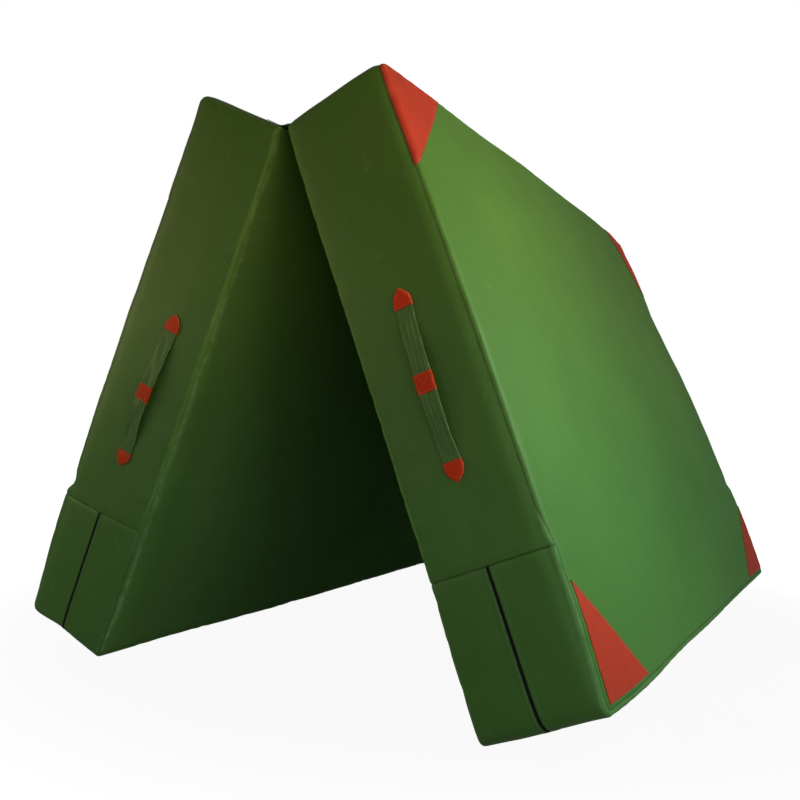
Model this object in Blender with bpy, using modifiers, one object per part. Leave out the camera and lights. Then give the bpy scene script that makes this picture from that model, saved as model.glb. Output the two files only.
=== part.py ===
"""Folding gymnastics mat, standing on its edges as a tent.

Two foam slabs in sewn covers hang from one strip of fabric, the fold. Each cover is cut from flat
pieces: an outer and an inner sheet, a boxing band round three sides, and two strips with a zip between
them round the free end. Carry handles sit on the sides, and red patches mark the outer corners.

Row frame: +Z up, +Y along the fold and away from the viewer, +X to the right. The origin is on the
floor, under the middle of the fold. Each panel is modelled hanging from its fold axis, an empty: its
local X runs outwards through the thickness, Y along the fold and -Z down the panel's length.
"""

import math

import bmesh
import bpy
from mathutils import Vector

# Driving sizes of a panel, in metres
PANEL_LENGTH = 1.000  # from the fold to the free end
PANEL_WIDTH = 1.400  # along the fold
PANEL_THICKNESS = 0.190  # between the two faces at their seams
TENT_ANGLE = 44.5  # degrees between the inner faces, as it stands
FOLD_GAP = 0.011  # between the panels' edges, both folded shut and laid flat

# Fabric, foam and the shape that the foam presses into the cover
FABRIC = 0.0008
CLEARANCE = 0.0003  # between pieces that touch
FACE_CROWN = 0.005  # how far the middle of a face stands proud of its ends
SIDE_CROWN = 0.003  # and how far the middle of a side edge does, where the wall is wider
CROWN_REACH = 0.180  # how far from the edge the crown levels out
WALL_BULGE = 0.003
WALL_FLAT_MARGIN = 0.004  # of a wall's level middle, past the zip's tapes on it
EDGE_RADIUS = 0.012  # where a wall turns onto a face
CORNER_RADIUS = 0.030  # where a side turns onto an end

# Seams: how far past the rounded edge the wall's fabric reaches onto a face
TOP_SEAM = 0.001
SIDE_SEAM = 0.001
ZIP_SIDE_SEAM = 0.012  # the looser zip end is cut wider
BOTTOM_SEAM = 0.004
SEAM_TAPER = 0.070  # length over which the side seam widens above the zip

# Zip round the free end
ZIP_REACH = 0.234  # from the free end up to the cross seam, where the zip begins
TAPE_WIDTH = 0.016
TAPE_THICKNESS = 0.0006
TAPE_SPLIT = 0.002  # between the two tapes, where the slider's post passes
COIL_SPLIT = 0.0014
COIL_WIDTH = 0.0018
COIL_HEIGHT = 0.0014

# Zip slider and its pull
SLIDER_LENGTH = 0.013
SLIDER_RUNNING = 0.0003  # from the slider to the strips beside it and the foam under it
SLIDER_PLATE = 0.0012
SLIDER_FLANGE = 0.0007
SLIDER_BASE = 0.0010  # the plate under the tapes
SLIDER_BASE_SHARE = 0.92  # of the length, for the base
SLIDER_FLANGE_SHARE = 0.80  # and for the flanges
SLIDER_POST_LENGTH = 0.0025
SLIDER_WELD = 0.0004  # how deep the slider's parts run into each other
SLIDER_DOWN = 0.014  # from the cross seam to the slider's middle, zip shut
BRIDGE_RADIUS = 0.00195
BRIDGE_WIRE = 0.0005
BRIDGE_SINK = 0.0011  # how deep the bridge's ring sits in the plate
PULL_LENGTH = 0.032
PULL_WIDTH = 0.007
PULL_THICKNESS = 0.0012
PULL_WINDOW = (0.0026, 0.0044)  # across and along the window that takes the bridge
PULL_BAR = 0.0012
PULL_FLARE = 0.003  # length over which the tab widens under the window

# Corner patches on the outer face
PATCH_ALONG = {"top": 0.200, "bottom": 0.220}  # along the end
PATCH_DOWN = {"top": 0.170, "bottom": 0.185}  # along the side

# Handles, on the near and far side of each panel
HANDLE_ABOVE_SEAM = {"left": 0.110, "right": 0.128}  # from the cross seam up to the lower tip
HANDLE_ASIDE = {"left": (-0.024, -0.010), "right": (0.006, 0.0)}  # across from mid-wall, upper and lower tip
HANDLE_LENGTH = 0.296
STRAP_WIDTH = 0.029
STRAP_THICKNESS = 0.0020
STRAP_BOW = 0.0085  # how far the strap stands off the wall, for the fingers
STRAP_RISE = 0.095
HANDLE_PATCH_LENGTH = 0.030
HANDLE_PATCH_MARGIN = 0.001  # past the strap on each side
HANDLE_ARCH = 0.018  # length of the arched part of an end patch
GRIP_LENGTH = 0.033
GRIP_WALL = 0.0007

# Fabric hinge
HINGE_FLAP = 0.048  # from the fold axis to the flap's sewn edge
HINGE_LANDING = 0.020  # from the fold axis to where the strip meets the top end
HINGE_END_MARGIN = 0.020  # from the strip's end to the panel's side

# Sizes worked out from the ones above
EDGE = FOLD_GAP / 2  # from the fold axis to a panel's top end, and to its inner face
MIDDLE = PANEL_THICKNESS / 2
HALF_WIDTH = PANEL_WIDTH / 2
SHEET_DEPTH = FABRIC + CLEARANCE  # from the cover's outer surface to what it lies on
ZIP_START = PANEL_LENGTH - ZIP_REACH
HANDLE_PATCH_WIDTH = STRAP_WIDTH + 2 * HANDLE_PATCH_MARGIN
WALL_FLAT = 2 * (TAPE_WIDTH + WALL_FLAT_MARGIN)
SLIDER_POST_WIDTH = COIL_SPLIT - 2 * CLEARANCE
SLIDER_WIDTH = COIL_SPLIT + 2 * (COIL_WIDTH + CLEARANCE + SLIDER_FLANGE)
ZIP_SLOT = SLIDER_WIDTH + 2 * SLIDER_RUNNING
SLIDER_DEPTH = SHEET_DEPTH + TAPE_THICKNESS + CLEARANCE + SLIDER_BASE  # from the wall to its underside
FOAM_GROOVE = SLIDER_DEPTH + SLIDER_RUNNING  # depth of the foam's dent under the zip
FOAM_GROOVE_HALF = TAPE_WIDTH + 0.0015
DENT_RUN_OUT = 0.012  # how far past the cross seam the foam's dent fades out

GREEN = (0.075, 0.155, 0.045)
RED = (0.480, 0.045, 0.020)
FOAM = (0.800, 0.760, 0.600)
DARK = (0.012, 0.020, 0.010)
METAL = (0.550, 0.550, 0.520)


def material(name, colour, roughness, metallic=0.0):
    """A plain finish: a Principled BSDF in one colour."""
    made = bpy.data.materials.get(name)
    if made:
        return made
    made = bpy.data.materials.new(name)
    made.use_nodes = True
    made.diffuse_color = (*colour, 1)
    shader = made.node_tree.nodes["Principled BSDF"]
    shader.inputs["Base Color"].default_value = (*colour, 1)
    shader.inputs["Roughness"].default_value = roughness
    shader.inputs["Metallic"].default_value = metallic
    return made


def green_fabric():
    return material("green_coated_fabric", GREEN, 0.55)


def red_fabric():
    return material("red_coated_fabric", RED, 0.50)


def dark_nylon():
    return material("dark_nylon", DARK, 0.70)


def foam():
    return material("foam", FOAM, 0.95)


def zip_metal():
    return material("zip_metal", METAL, 0.35, 1.0)


def clear_scene():
    for obj in list(bpy.data.objects):
        bpy.data.objects.remove(obj)


def new_collection(name, hidden=False):
    made = bpy.data.collections.new(name)
    bpy.context.scene.collection.children.link(made)
    made.hide_render = hidden
    return made


class Panel:
    """One half of the mat. side is 1 for the right panel and -1 for the left."""

    def __init__(self, name, side, collection, cutters):
        self.name = name
        self.side = side
        self.collection = collection
        self.cutters = cutters
        self.axis = bpy.data.objects.new(f"{name}_fold_axis", None)
        self.axis.rotation_euler = (0, -side * math.radians(TENT_ANGLE / 2), 0)
        collection.objects.link(self.axis)

    def point(self, across, wide, down):
        """A local point: across from the inner face, wide along the fold, down from the top end."""
        return Vector((self.side * (EDGE + across), wide, -(EDGE + down)))

    def centre(self):
        return self.point(MIDDLE, 0, PANEL_LENGTH / 2)

    def add(self, name, bm, finish, thickness=0.0, inwards=True):
        """Makes a node of a mesh. A thickness makes fabric of an open surface, laid inwards or outwards."""
        turn_outwards(bm, self.centre())
        mesh = bpy.data.meshes.new(name)
        bm.to_mesh(mesh)
        bm.free()
        mesh.shade_smooth()
        mesh.set_sharp_from_angle(angle=math.radians(35))
        mesh.materials.append(finish)
        obj = bpy.data.objects.new(f"{self.name}_{name}", mesh)
        obj.parent = self.axis
        self.collection.objects.link(obj)
        if thickness:
            shell = obj.modifiers.new("fabric", "SOLIDIFY")
            shell.thickness = thickness
            shell.offset = -1 if inwards else 1
            shell.use_even_offset = True
        return obj


def turn_outwards(bm, centre):
    """Turns the faces so that, taken together, they look away from centre."""
    bmesh.ops.recalc_face_normals(bm, faces=bm.faces)
    facing = 0.0
    for face in bm.faces:
        facing += face.calc_area() * face.normal.dot(face.calc_center_median() - centre)
    if facing < 0:
        bmesh.ops.reverse_faces(bm, faces=bm.faces)


def lay_grid(bm, columns, rows, place):
    """Adds a flat cut of columns by rows cells and lays each of its corners where place says."""
    made = bmesh.ops.create_grid(bm, x_segments=columns, y_segments=rows, size=1.0)
    for vert in made["verts"]:
        column = round((vert.co.x + 1) / 2 * columns)
        row = round((vert.co.y + 1) / 2 * rows)
        vert.co = place(column, row)


def cut_away(bm, point, normal):
    """Cuts the mesh at a plane and drops the part on the normal's side."""
    geometry = bm.verts[:] + bm.edges[:] + bm.faces[:]
    bmesh.ops.bisect_plane(bm, geom=geometry, dist=1e-7, plane_co=point, plane_no=normal, clear_outer=True)


# Where the fabric lies: crown, bulge and seams


def spread(start, end, count):
    return [start + (end - start) * step / count for step in range(count + 1)]


def rise(distance):
    """From 0 at an edge to 1 where the crown levels out."""
    share = min(distance / CROWN_REACH, 1.0)
    return 1 - (1 - share) ** 2


def crown(down, wide):
    """How far a face stands proud of its ends."""
    from_end = max(min(down, PANEL_LENGTH - down), 0)
    from_side = max(HALF_WIDTH - abs(wide), 0)
    return rise(from_end) * (SIDE_CROWN + (FACE_CROWN - SIDE_CROWN) * rise(from_side))


def past_middle(across, reach):
    """From 0 on a wall's level middle to 1 at a distance of reach from the nearer face."""
    flat = WALL_FLAT / 2
    share = (abs(across - MIDDLE) - flat) / (MIDDLE - reach - flat)
    return min(max(share, 0.0), 1.0)


def bulge(across):
    """How far a wall stands proud between its two rounded edges. Its middle is level."""
    return WALL_BULGE * (1 - past_middle(across, EDGE_RADIUS) ** 2)


def seam_inset(down, out_down, out_wide):
    """How far the wall's fabric reaches onto a face, by where the edge lies and which way it looks."""
    widened = min(max((down - ZIP_START + SEAM_TAPER) / SEAM_TAPER, 0), 1)
    side = SIDE_SEAM + (ZIP_SIDE_SEAM - SIDE_SEAM) * widened
    end = BOTTOM_SEAM if out_down > 0 else TOP_SEAM
    return EDGE_RADIUS + side * out_wide**2 + end * out_down**2


# Lines on which the fabric is laid, closer together near the edges. The first and last three lie in
# the rounded corners.
NEAR_EDGE = (CORNER_RADIUS, 0.080, 0.130, 0.190)
CORNER_STEPS = 2
DOWN_LINES = (
    [0, CORNER_RADIUS / 2, *NEAR_EDGE]
    + [ZIP_START - SEAM_TAPER, ZIP_START - DENT_RUN_OUT, ZIP_START]
    + [PANEL_LENGTH - line for line in reversed(NEAR_EDGE)]
    + [PANEL_LENGTH - CORNER_RADIUS / 2, PANEL_LENGTH]
)
WIDE_LINES = (
    [-HALF_WIDTH, CORNER_RADIUS / 2 - HALF_WIDTH]
    + [line - HALF_WIDTH for line in NEAR_EDGE]
    + [HALF_WIDTH - line for line in reversed(NEAR_EDGE)]
    + [HALF_WIDTH - CORNER_RADIUS / 2, HALF_WIDTH]
)
DOWN_CELLS = len(DOWN_LINES) - 1
WIDE_CELLS = len(WIDE_LINES) - 1
ZIP_LINE = DOWN_LINES.index(ZIP_START)


def corner_share(index, lines):
    """Where a line lies in a rounded corner: (where the corner starts, how far into it, which way)."""
    last = len(lines) - 1
    if index < CORNER_STEPS:
        return lines[CORNER_STEPS], (CORNER_STEPS - index) / CORNER_STEPS, -1
    if index > last - CORNER_STEPS:
        return lines[last - CORNER_STEPS], (index - last + CORNER_STEPS) / CORNER_STEPS, 1
    return lines[index], 0.0, 1


def outline_spot(row, column):
    """(down, wide) where the corner starts, and the offset from there on a disc of radius 1."""
    down, into_down, way_down = corner_share(row, DOWN_LINES)
    wide, into_wide, way_wide = corner_share(column, WIDE_LINES)
    offset_down = way_down * into_down * math.sqrt(1 - into_wide**2 / 2)
    offset_wide = way_wide * into_wide * math.sqrt(1 - into_down**2 / 2)
    return down, wide, offset_down, offset_wide


def on_face(panel, row, column, outer, depth):
    """A point of a face's fabric, at a depth under the cover's surface. Its border lies on the seam."""
    down, wide, offset_down, offset_wide = outline_spot(row, column)
    reach = math.hypot(offset_down, offset_wide)
    radius = 0.0
    if reach > 0:
        inset = seam_inset(down, offset_down / reach, offset_wide / reach)
        radius = CORNER_RADIUS - inset - CLEARANCE / 2
    down += radius * offset_down
    wide += radius * offset_wide
    height = crown(down, wide) - depth
    across = PANEL_THICKNESS + height if outer else -height
    return panel.point(across, wide, down)


def outline_stations():
    """The panel's outline, once round from the near side's cross seam by way of the free end."""
    rows = range(DOWN_CELLS + 1)
    near_down = [(row, 0) for row in rows if row >= ZIP_LINE]
    bottom = [(DOWN_CELLS, column) for column in range(1, WIDE_CELLS)]
    far_up = [(row, WIDE_CELLS) for row in reversed(rows)]
    top = [(0, column) for column in range(WIDE_CELLS - 1, 0, -1)]
    near_top = [(row, 0) for row in rows if row < ZIP_LINE]
    return [outline_spot(*spot) for spot in near_down + bottom + far_up + top + near_top]


STATIONS = outline_stations()
FAR_SEAM_STATION = (DOWN_CELLS - ZIP_LINE) * 2 + WIDE_CELLS


def zip_stations():
    """The part of the outline that the zip follows, from cross seam to cross seam."""
    return with_seam_gap(STATIONS[: FAR_SEAM_STATION + 1], CLEARANCE / 2)


def band_stations():
    """The rest of the outline, over the top end."""
    return with_seam_gap(STATIONS[FAR_SEAM_STATION:] + STATIONS[:1], -CLEARANCE / 2)


def with_seam_gap(stations, shift):
    """Draws the first and last station back from the cross seam."""
    first, last = stations[0], stations[-1]
    ends = [(end[0] + shift, *end[1:]) for end in (first, last)]
    return [ends[0], *stations[1:-1], ends[1]]


def on_wall(panel, station, inset, across, depth=0.0):
    """A point of the wall's fabric, at a station of the outline and a place across the thickness."""
    down, wide, out_down, out_wide = station
    reach = CORNER_RADIUS - inset
    at_down, at_wide = down + reach * out_down, wide + reach * out_wide
    swell = bulge(across)
    lift = crown(at_down, at_wide) * past_middle(across, EDGE_RADIUS)
    raised = across + math.copysign(lift, across - MIDDLE)
    return panel.point(raised, at_wide + swell * out_wide, at_down + swell * out_down)


def edge_profile(station, depth):
    """The turn from the inner face's seam to the wall, as (inset, across), at a depth under the surface."""
    down, _, out_down, out_wide = station
    lip = seam_inset(down, out_down, out_wide) - CLEARANCE / 2
    radius = EDGE_RADIUS - depth
    turn = [math.radians(angle) for angle in (0, 30, 60, 90)]
    arc = [(EDGE_RADIUS - radius * math.sin(a), EDGE_RADIUS - radius * math.cos(a)) for a in turn]
    return [(lip, depth)] + arc


def wall_profile(station, depth, stops):
    """A wall's section from the inner face's seam to each of the stops across it."""
    return edge_profile(station, depth) + [(depth, across) for across in stops]


def mirrored(profile):
    """The same section, from the outer face's seam."""
    return [(inset, PANEL_THICKNESS - across) for inset, across in reversed(profile)]


WALL_SHOULDER = MIDDLE - WALL_FLAT / 2
WALL_STOPS = ((EDGE_RADIUS + WALL_SHOULDER) / 2, WALL_SHOULDER)


def full_section(station, depth, middle=()):
    """A wall's whole section, seam to seam."""
    half = wall_profile(station, depth, WALL_STOPS)
    return half + list(middle) + mirrored(half)


def half_section(station):
    """The section of a zip strip, seam to slot."""
    return wall_profile(station, 0.0, (*WALL_STOPS, MIDDLE - ZIP_SLOT / 2))


# The pieces of a cover, and the foam in it


def lay_face(bm, panel, outer, depth):
    """Adds a face's whole fabric, from seam to seam, at a depth under the cover's surface."""
    lay_grid(bm, WIDE_CELLS, DOWN_CELLS, lambda column, row: on_face(panel, row, column, outer, depth))


def sheet(panel, name, outer):
    bm = bmesh.new()
    lay_face(bm, panel, outer, 0.0)
    return panel.add(name, bm, green_fabric(), FABRIC)


def wrap_wall(panel, name, stations, sections, finish, thickness, depth=0.0):
    """Fabric laid round the wall, with a section across the thickness at each station."""
    bm = bmesh.new()

    def place(column, row):
        inset, across = sections[column][row]
        return on_wall(panel, stations[column], inset, across, depth)

    lay_grid(bm, len(stations) - 1, len(sections[0]) - 1, place)
    return panel.add(name, bm, finish, thickness)


def foam_core(panel):
    """The slab: two faces and a wall, just under the cover, with a dent where the zip presses in."""
    groove_ends = (MIDDLE - FOAM_GROOVE_HALF, MIDDLE + FOAM_GROOVE_HALF)
    loop = STATIONS + STATIONS[:1]
    seam_cover = SHEET_DEPTH

    def zipped(index):
        return index % len(STATIONS) <= FAR_SEAM_STATION

    sections = []
    for index, station in enumerate(loop):
        dent = FOAM_GROOVE if zipped(index) else seam_cover
        groove = [(seam_cover, groove_ends[0]), (dent, groove_ends[0] + 0.0004)]
        groove += [(dent, groove_ends[1] - 0.0004), (seam_cover, groove_ends[1])]
        sections.append(full_section(station, seam_cover, groove))

    def wall(column, row):
        inset, across = sections[column][row]
        station = loop[column]
        if row in (0, len(sections[column]) - 1):
            inset = seam_inset(station[0], station[2], station[3]) + CLEARANCE / 2
        return on_wall(panel, station, inset, across, seam_cover)

    bm = bmesh.new()
    lay_grid(bm, len(loop) - 1, len(sections[0]) - 1, wall)
    for outer in (False, True):
        lay_face(bm, panel, outer, seam_cover)
    bmesh.ops.remove_doubles(bm, verts=bm.verts, dist=0.00002)
    return panel.add("foam_core", bm, foam())


def zip_halves(panel):
    """The strips of the free end, and under their edges the tapes with a row of coil each."""
    stations = zip_stations()
    tape_depth = SHEET_DEPTH
    coil_depth = tape_depth - CLEARANCE
    outside = coil_depth - COIL_HEIGHT
    tape = [(tape_depth, MIDDLE - TAPE_WIDTH), (tape_depth, MIDDLE - TAPE_SPLIT / 2)]
    coil = [(outside, MIDDLE - COIL_SPLIT / 2 - COIL_WIDTH), (outside, MIDDLE - COIL_SPLIT / 2)]
    for half, turn in (("inner", list), ("outer", mirrored)):
        strip = [turn(half_section(station)) for station in stations]
        tapes, coils = [turn(tape)] * len(stations), [turn(coil)] * len(stations)
        wrap_wall(panel, f"zip_strip_{half}", stations, strip, green_fabric(), FABRIC)
        wrap_wall(panel, f"zip_tape_{half}", stations, tapes, dark_nylon(), TAPE_THICKNESS, tape_depth)
        wrap_wall(panel, f"zip_coil_{half}", stations, coils, dark_nylon(), COIL_HEIGHT, outside)


def corner_patches(panel):
    """A red triangle sewn over each corner of the outer face."""
    for side_name, way in (("near", -1), ("far", 1)):
        for end_name, end, inwards in (("top", 0, 1), ("bottom", PANEL_LENGTH, -1)):
            along, down = PATCH_ALONG[end_name], PATCH_DOWN[end_name]
            bm = bmesh.new()
            lay_face(bm, panel, True, -CLEARANCE)
            on_long_edge = panel.point(0, way * (HALF_WIDTH - along), end)
            away = panel.point(0, -way * down, inwards * along) - panel.point(0, 0, 0)
            cut_away(bm, on_long_edge, away)
            panel.add(f"corner_patch_{side_name}_{end_name}", bm, red_fabric(), FABRIC, False)


# Handles


def arch_half_width(from_tip, half_width):
    """Half the width of an arched end, at a distance from its tip."""
    share = min(max(from_tip / HANDLE_ARCH, 0.0), 1.0)
    return half_width * max((1 - (1 - share) ** 2) ** 0.6, 0.12)


def on_side(panel, way, across, height, down):
    """A point off the near (way -1) or far (way 1) side, across from the wall's middle line."""
    return panel.point(MIDDLE + across, way * (HALF_WIDTH + WALL_BULGE + height), down)


def strap_height(along):
    """How far the strap's underside stands off the wall, at a distance from the handle's upper tip."""
    from_patch = min(along, HANDLE_LENGTH - along) - HANDLE_PATCH_LENGTH
    share = min(max(from_patch / STRAP_RISE, 0.0), 1.0)
    return CLEARANCE + STRAP_BOW * share**2 * (3 - 2 * share)


def handle_aside(panel, along):
    """How far across from the wall's middle line the handle's own middle line is."""
    upper, lower = HANDLE_ASIDE[panel.name]
    return upper + (lower - upper) * along / HANDLE_LENGTH


def handle_top(panel):
    """From the panel's top end to its handles' upper tips."""
    return ZIP_START - HANDLE_ABOVE_SEAM[panel.name] - HANDLE_LENGTH


def ribbon(panel, name, way, steps, half_width, height, finish, thickness):
    """Fabric that follows the handle's line: half_width and height are functions of the distance along it."""
    bm = bmesh.new()
    top = handle_top(panel)

    def place(column, row):
        along = steps[row]
        across = handle_aside(panel, along) + (column - 1) * half_width(along)
        return on_side(panel, way, across, height(along), top + along)

    lay_grid(bm, 2, len(steps) - 1, place)
    return panel.add(name, bm, finish, thickness, False)


def handle(panel, where, way):
    """A strap sewn down at both ends under red patches, with a red sleeve round its middle."""
    tip = 0.0015  # the strap's ends lie just inside the patches
    arch_steps = [0.0, 0.0015, 0.004, 0.008, 0.013, HANDLE_ARCH]
    bow_steps = spread(HANDLE_PATCH_LENGTH, HANDLE_PATCH_LENGTH + STRAP_RISE, 8)
    first_half = [tip + step for step in arch_steps] + bow_steps
    steps = first_half + [HANDLE_LENGTH - step for step in reversed(first_half)]

    def strap_half_width(along):
        return arch_half_width(min(along, HANDLE_LENGTH - along) - tip, STRAP_WIDTH / 2)

    strap = f"{where}_handle_strap"
    ribbon(panel, strap, way, steps, strap_half_width, strap_height, green_fabric(), STRAP_THICKNESS)

    patch_height = CLEARANCE + STRAP_THICKNESS + CLEARANCE
    for end in ("upper", "lower"):
        ends = arch_steps + [HANDLE_PATCH_LENGTH]
        patch = ends if end == "upper" else [HANDLE_LENGTH - step for step in reversed(ends)]
        ribbon(
            panel,
            f"{where}_handle_{end}_patch",
            way,
            patch,
            lambda along: arch_half_width(min(along, HANDLE_LENGTH - along), HANDLE_PATCH_WIDTH / 2),
            lambda along: patch_height,
            red_fabric(),
            FABRIC,
        )
    grip_sleeve(panel, where, way)


def rectangle(left, right, low, high):
    return [(left, low), (right, low), (right, high), (left, high)]


def add_outline(curve, corners):
    """Adds a closed outline to a flat curve. The second one inside the first is a hole."""
    spline = curve.splines.new("POLY")
    spline.points.add(len(corners) - 1)
    for point, corner in zip(spline.points, corners):
        point.co = (*corner, 0, 1)
    spline.use_cyclic_u = True


def grip_sleeve(panel, where, way):
    """The red sleeve: a flat tube round the strap."""
    inner = (STRAP_WIDTH + 2 * CLEARANCE, STRAP_THICKNESS + 2 * CLEARANCE)
    outline = bpy.data.curves.new(f"{where}_handle_grip", "CURVE")
    outline.dimensions = "2D"
    outline.fill_mode = "BOTH"
    outline.extrude = GRIP_LENGTH / 2
    for width, height in (inner, (inner[0] + 2 * GRIP_WALL, inner[1] + 2 * GRIP_WALL)):
        add_outline(outline, rectangle(-width / 2, width / 2, -height / 2, height / 2))
    outline.materials.append(red_fabric())
    sleeve = bpy.data.objects.new(f"{panel.name}_{where}_handle_grip", outline)
    sleeve.parent = panel.axis
    middle = CLEARANCE + STRAP_BOW + STRAP_THICKNESS / 2
    halfway = HANDLE_LENGTH / 2
    sleeve.location = on_side(panel, way, handle_aside(panel, halfway), middle, handle_top(panel) + halfway)
    upper, lower = HANDLE_ASIDE[panel.name]
    sleeve.rotation_euler = (0, -panel.side * math.atan((lower - upper) / HANDLE_LENGTH), 0)
    panel.collection.objects.link(sleeve)


# Zip slider and pull, on the far side


def box(name, size, centre, parent, collection):
    """A box of a size, centred in its parent's frame."""
    bm = bmesh.new()
    bmesh.ops.create_cube(bm, size=1.0)
    bmesh.ops.scale(bm, verts=bm.verts, vec=size)
    bmesh.ops.translate(bm, verts=bm.verts, vec=centre)
    mesh = bpy.data.meshes.new(name)
    bm.to_mesh(mesh)
    bm.free()
    obj = bpy.data.objects.new(name, mesh)
    obj.parent = parent
    collection.objects.link(obj)
    return obj


def fuse(target, others):
    """Joins other shapes to the target. They stay as hidden helpers."""
    for other in others:
        other.hide_render = True
        other.display_type = "WIRE"
        join = target.modifiers.new(f"join_{other.name}"[:60], "BOOLEAN")
        join.operation = "UNION"
        join.solver = "EXACT"
        join.object = other


def slider_frame(panel):
    """An empty at the slider's place: X across, Y out of the far wall, Z up the zip."""
    frame = bpy.data.objects.new(f"{panel.name}_zip_slider_place", None)
    frame.parent = panel.axis
    frame.location = on_side(panel, 1, 0, 0, ZIP_START + SLIDER_DOWN)
    panel.collection.objects.link(frame)
    return frame


def zip_slider(panel, frame):
    """A plate over the coil and one under the tapes, joined by a post, with flanges and a bridge."""
    coil_top = COIL_HEIGHT - (SHEET_DEPTH - CLEARANCE)
    plate_under = coil_top + CLEARANCE
    plate_top = plate_under + SLIDER_PLATE
    base_under = -SLIDER_DEPTH
    base_top = base_under + SLIDER_BASE
    flange_under = CLEARANCE - SHEET_DEPTH
    name = f"{panel.name}_zip_slider"

    def block(part, size, centre):
        return box(f"{name}_{part}", size, centre, frame, panel.cutters)

    body = box(
        name,
        (SLIDER_WIDTH, SLIDER_PLATE, SLIDER_LENGTH),
        (0, (plate_under + plate_top) / 2, 0),
        frame,
        panel.collection,
    )
    round_off = body.modifiers.new("rounded_ends", "BEVEL")
    round_off.width = SLIDER_WELD
    round_off.segments = 2
    body.data.materials.append(zip_metal())

    flanges = []
    for half, way in (("inner", -1), ("outer", 1)):
        top = plate_under + SLIDER_WELD
        flanges.append(
            block(
                f"flange_{half}",
                (SLIDER_FLANGE, top - flange_under, SLIDER_LENGTH * SLIDER_FLANGE_SHARE),
                (way * (SLIDER_WIDTH - SLIDER_FLANGE - SLIDER_WELD / 2) / 2, (top + flange_under) / 2, 0),
            )
        )
    post_top, post_under = plate_under + SLIDER_WELD, base_top - SLIDER_WELD
    post = block(
        "post",
        (SLIDER_POST_WIDTH, post_top - post_under, SLIDER_POST_LENGTH),
        (0, (post_top + post_under) / 2, SLIDER_LENGTH / 2 - SLIDER_POST_LENGTH),
    )
    base = block(
        "base",
        (SLIDER_WIDTH, base_top - base_under, SLIDER_LENGTH * SLIDER_BASE_SHARE),
        (0, (base_top + base_under) / 2, 0),
    )
    pivot_height = plate_top - BRIDGE_SINK + BRIDGE_WIRE + BRIDGE_RADIUS
    bpy.ops.mesh.primitive_torus_add(
        major_radius=BRIDGE_RADIUS,
        minor_radius=BRIDGE_WIRE,
        major_segments=20,
        minor_segments=8,
        location=(0, pivot_height, 0),
        rotation=(0, math.radians(90), 0),
    )
    bridge = bpy.context.active_object
    bridge.name = f"{name}_bridge"
    for owner in bridge.users_collection:
        owner.objects.unlink(bridge)
    panel.cutters.objects.link(bridge)
    bridge.parent = frame
    fuse(body, [*flanges, post, base, bridge])
    return pivot_height


def zip_pull(panel, frame, pivot_height):
    """A flat tab whose window takes the slider's bridge, hanging down the zip."""
    window_width, window_length = PULL_WINDOW
    neck = window_width + 2 * PULL_BAR
    head = -PULL_BAR / 2
    shoulder = head + 2 * PULL_BAR + window_length
    tip = PULL_LENGTH
    outline = bpy.data.curves.new("zip_pull", "CURVE")
    outline.dimensions = "2D"
    outline.fill_mode = "BOTH"
    outline.extrude = PULL_THICKNESS / 2
    half = PULL_WIDTH / 2
    arc = [math.radians(90 - 22.5 * step) for step in range(9)]
    round_tip = [(half * math.sin(a), tip - half + half * math.cos(a)) for a in arc]
    tab = [(-neck / 2, head), (-neck / 2, shoulder), (-half, shoulder + PULL_FLARE)]
    tab += list(reversed(round_tip))
    tab += [(half, shoulder + PULL_FLARE), (neck / 2, shoulder), (neck / 2, head)]
    start = PULL_BAR / 2
    add_outline(outline, tab)
    add_outline(outline, rectangle(-window_width / 2, window_width / 2, start, start + window_length))
    outline.materials.append(zip_metal())
    pull = bpy.data.objects.new(f"{panel.name}_zip_pull", outline)
    pull.parent = frame
    pull.location = (0, pivot_height, 0)
    pull.rotation_euler = (math.radians(-90), 0, 0)
    panel.collection.objects.link(pull)


def hinge_strip(panels, collection):
    """One strip of fabric in the notch between the top ends, sewn to both. It bends at the fold axis."""
    half_length = HALF_WIDTH - HINGE_END_MARGIN
    top_half = []
    for across in (0.000, 0.004, 0.008, 0.013, HINGE_LANDING, 0.030, 0.039, HINGE_FLAP):
        landed = min(across / HINGE_LANDING, 1.0)
        near_wall = EDGE - bulge(max(across - EDGE, 0)) - CLEARANCE
        top_half.append((across, near_wall * landed * (2 - landed)))
    bm = bmesh.new()
    right, left = panels
    line = [(left, *spot) for spot in reversed(top_half[1:])] + [(right, *spot) for spot in top_half]

    def place(column, row):
        panel, across, under = line[row]
        wide = -half_length if column == 0 else half_length
        return panel.axis.matrix_basis @ Vector((panel.side * across, wide, -under))

    lay_grid(bm, 1, len(line) - 1, place)
    turn_outwards(bm, Vector((0, 0, -1)))
    mesh = bpy.data.meshes.new("fold_hinge_strip")
    bm.to_mesh(mesh)
    bm.free()
    mesh.materials.append(green_fabric())
    obj = bpy.data.objects.new("fold_hinge_strip", mesh)
    shell = obj.modifiers.new("fabric", "SOLIDIFY")
    shell.thickness = FABRIC
    shell.offset = 1
    shell.use_even_offset = True
    collection.objects.link(obj)
    return obj


def cover_and_fill(panel):
    """Everything of one panel."""
    foam_core(panel)
    sheet(panel, "outer_sheet", True)
    sheet(panel, "inner_sheet", False)
    band = [full_section(station, 0.0) for station in band_stations()]
    wrap_wall(panel, "boxing_band", band_stations(), band, green_fabric(), FABRIC)
    zip_halves(panel)
    corner_patches(panel)
    handle(panel, "near", -1)
    handle(panel, "far", 1)
    frame = slider_frame(panel)
    pivot_height = zip_slider(panel, frame)
    zip_pull(panel, frame, pivot_height)
    return frame, pivot_height


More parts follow.
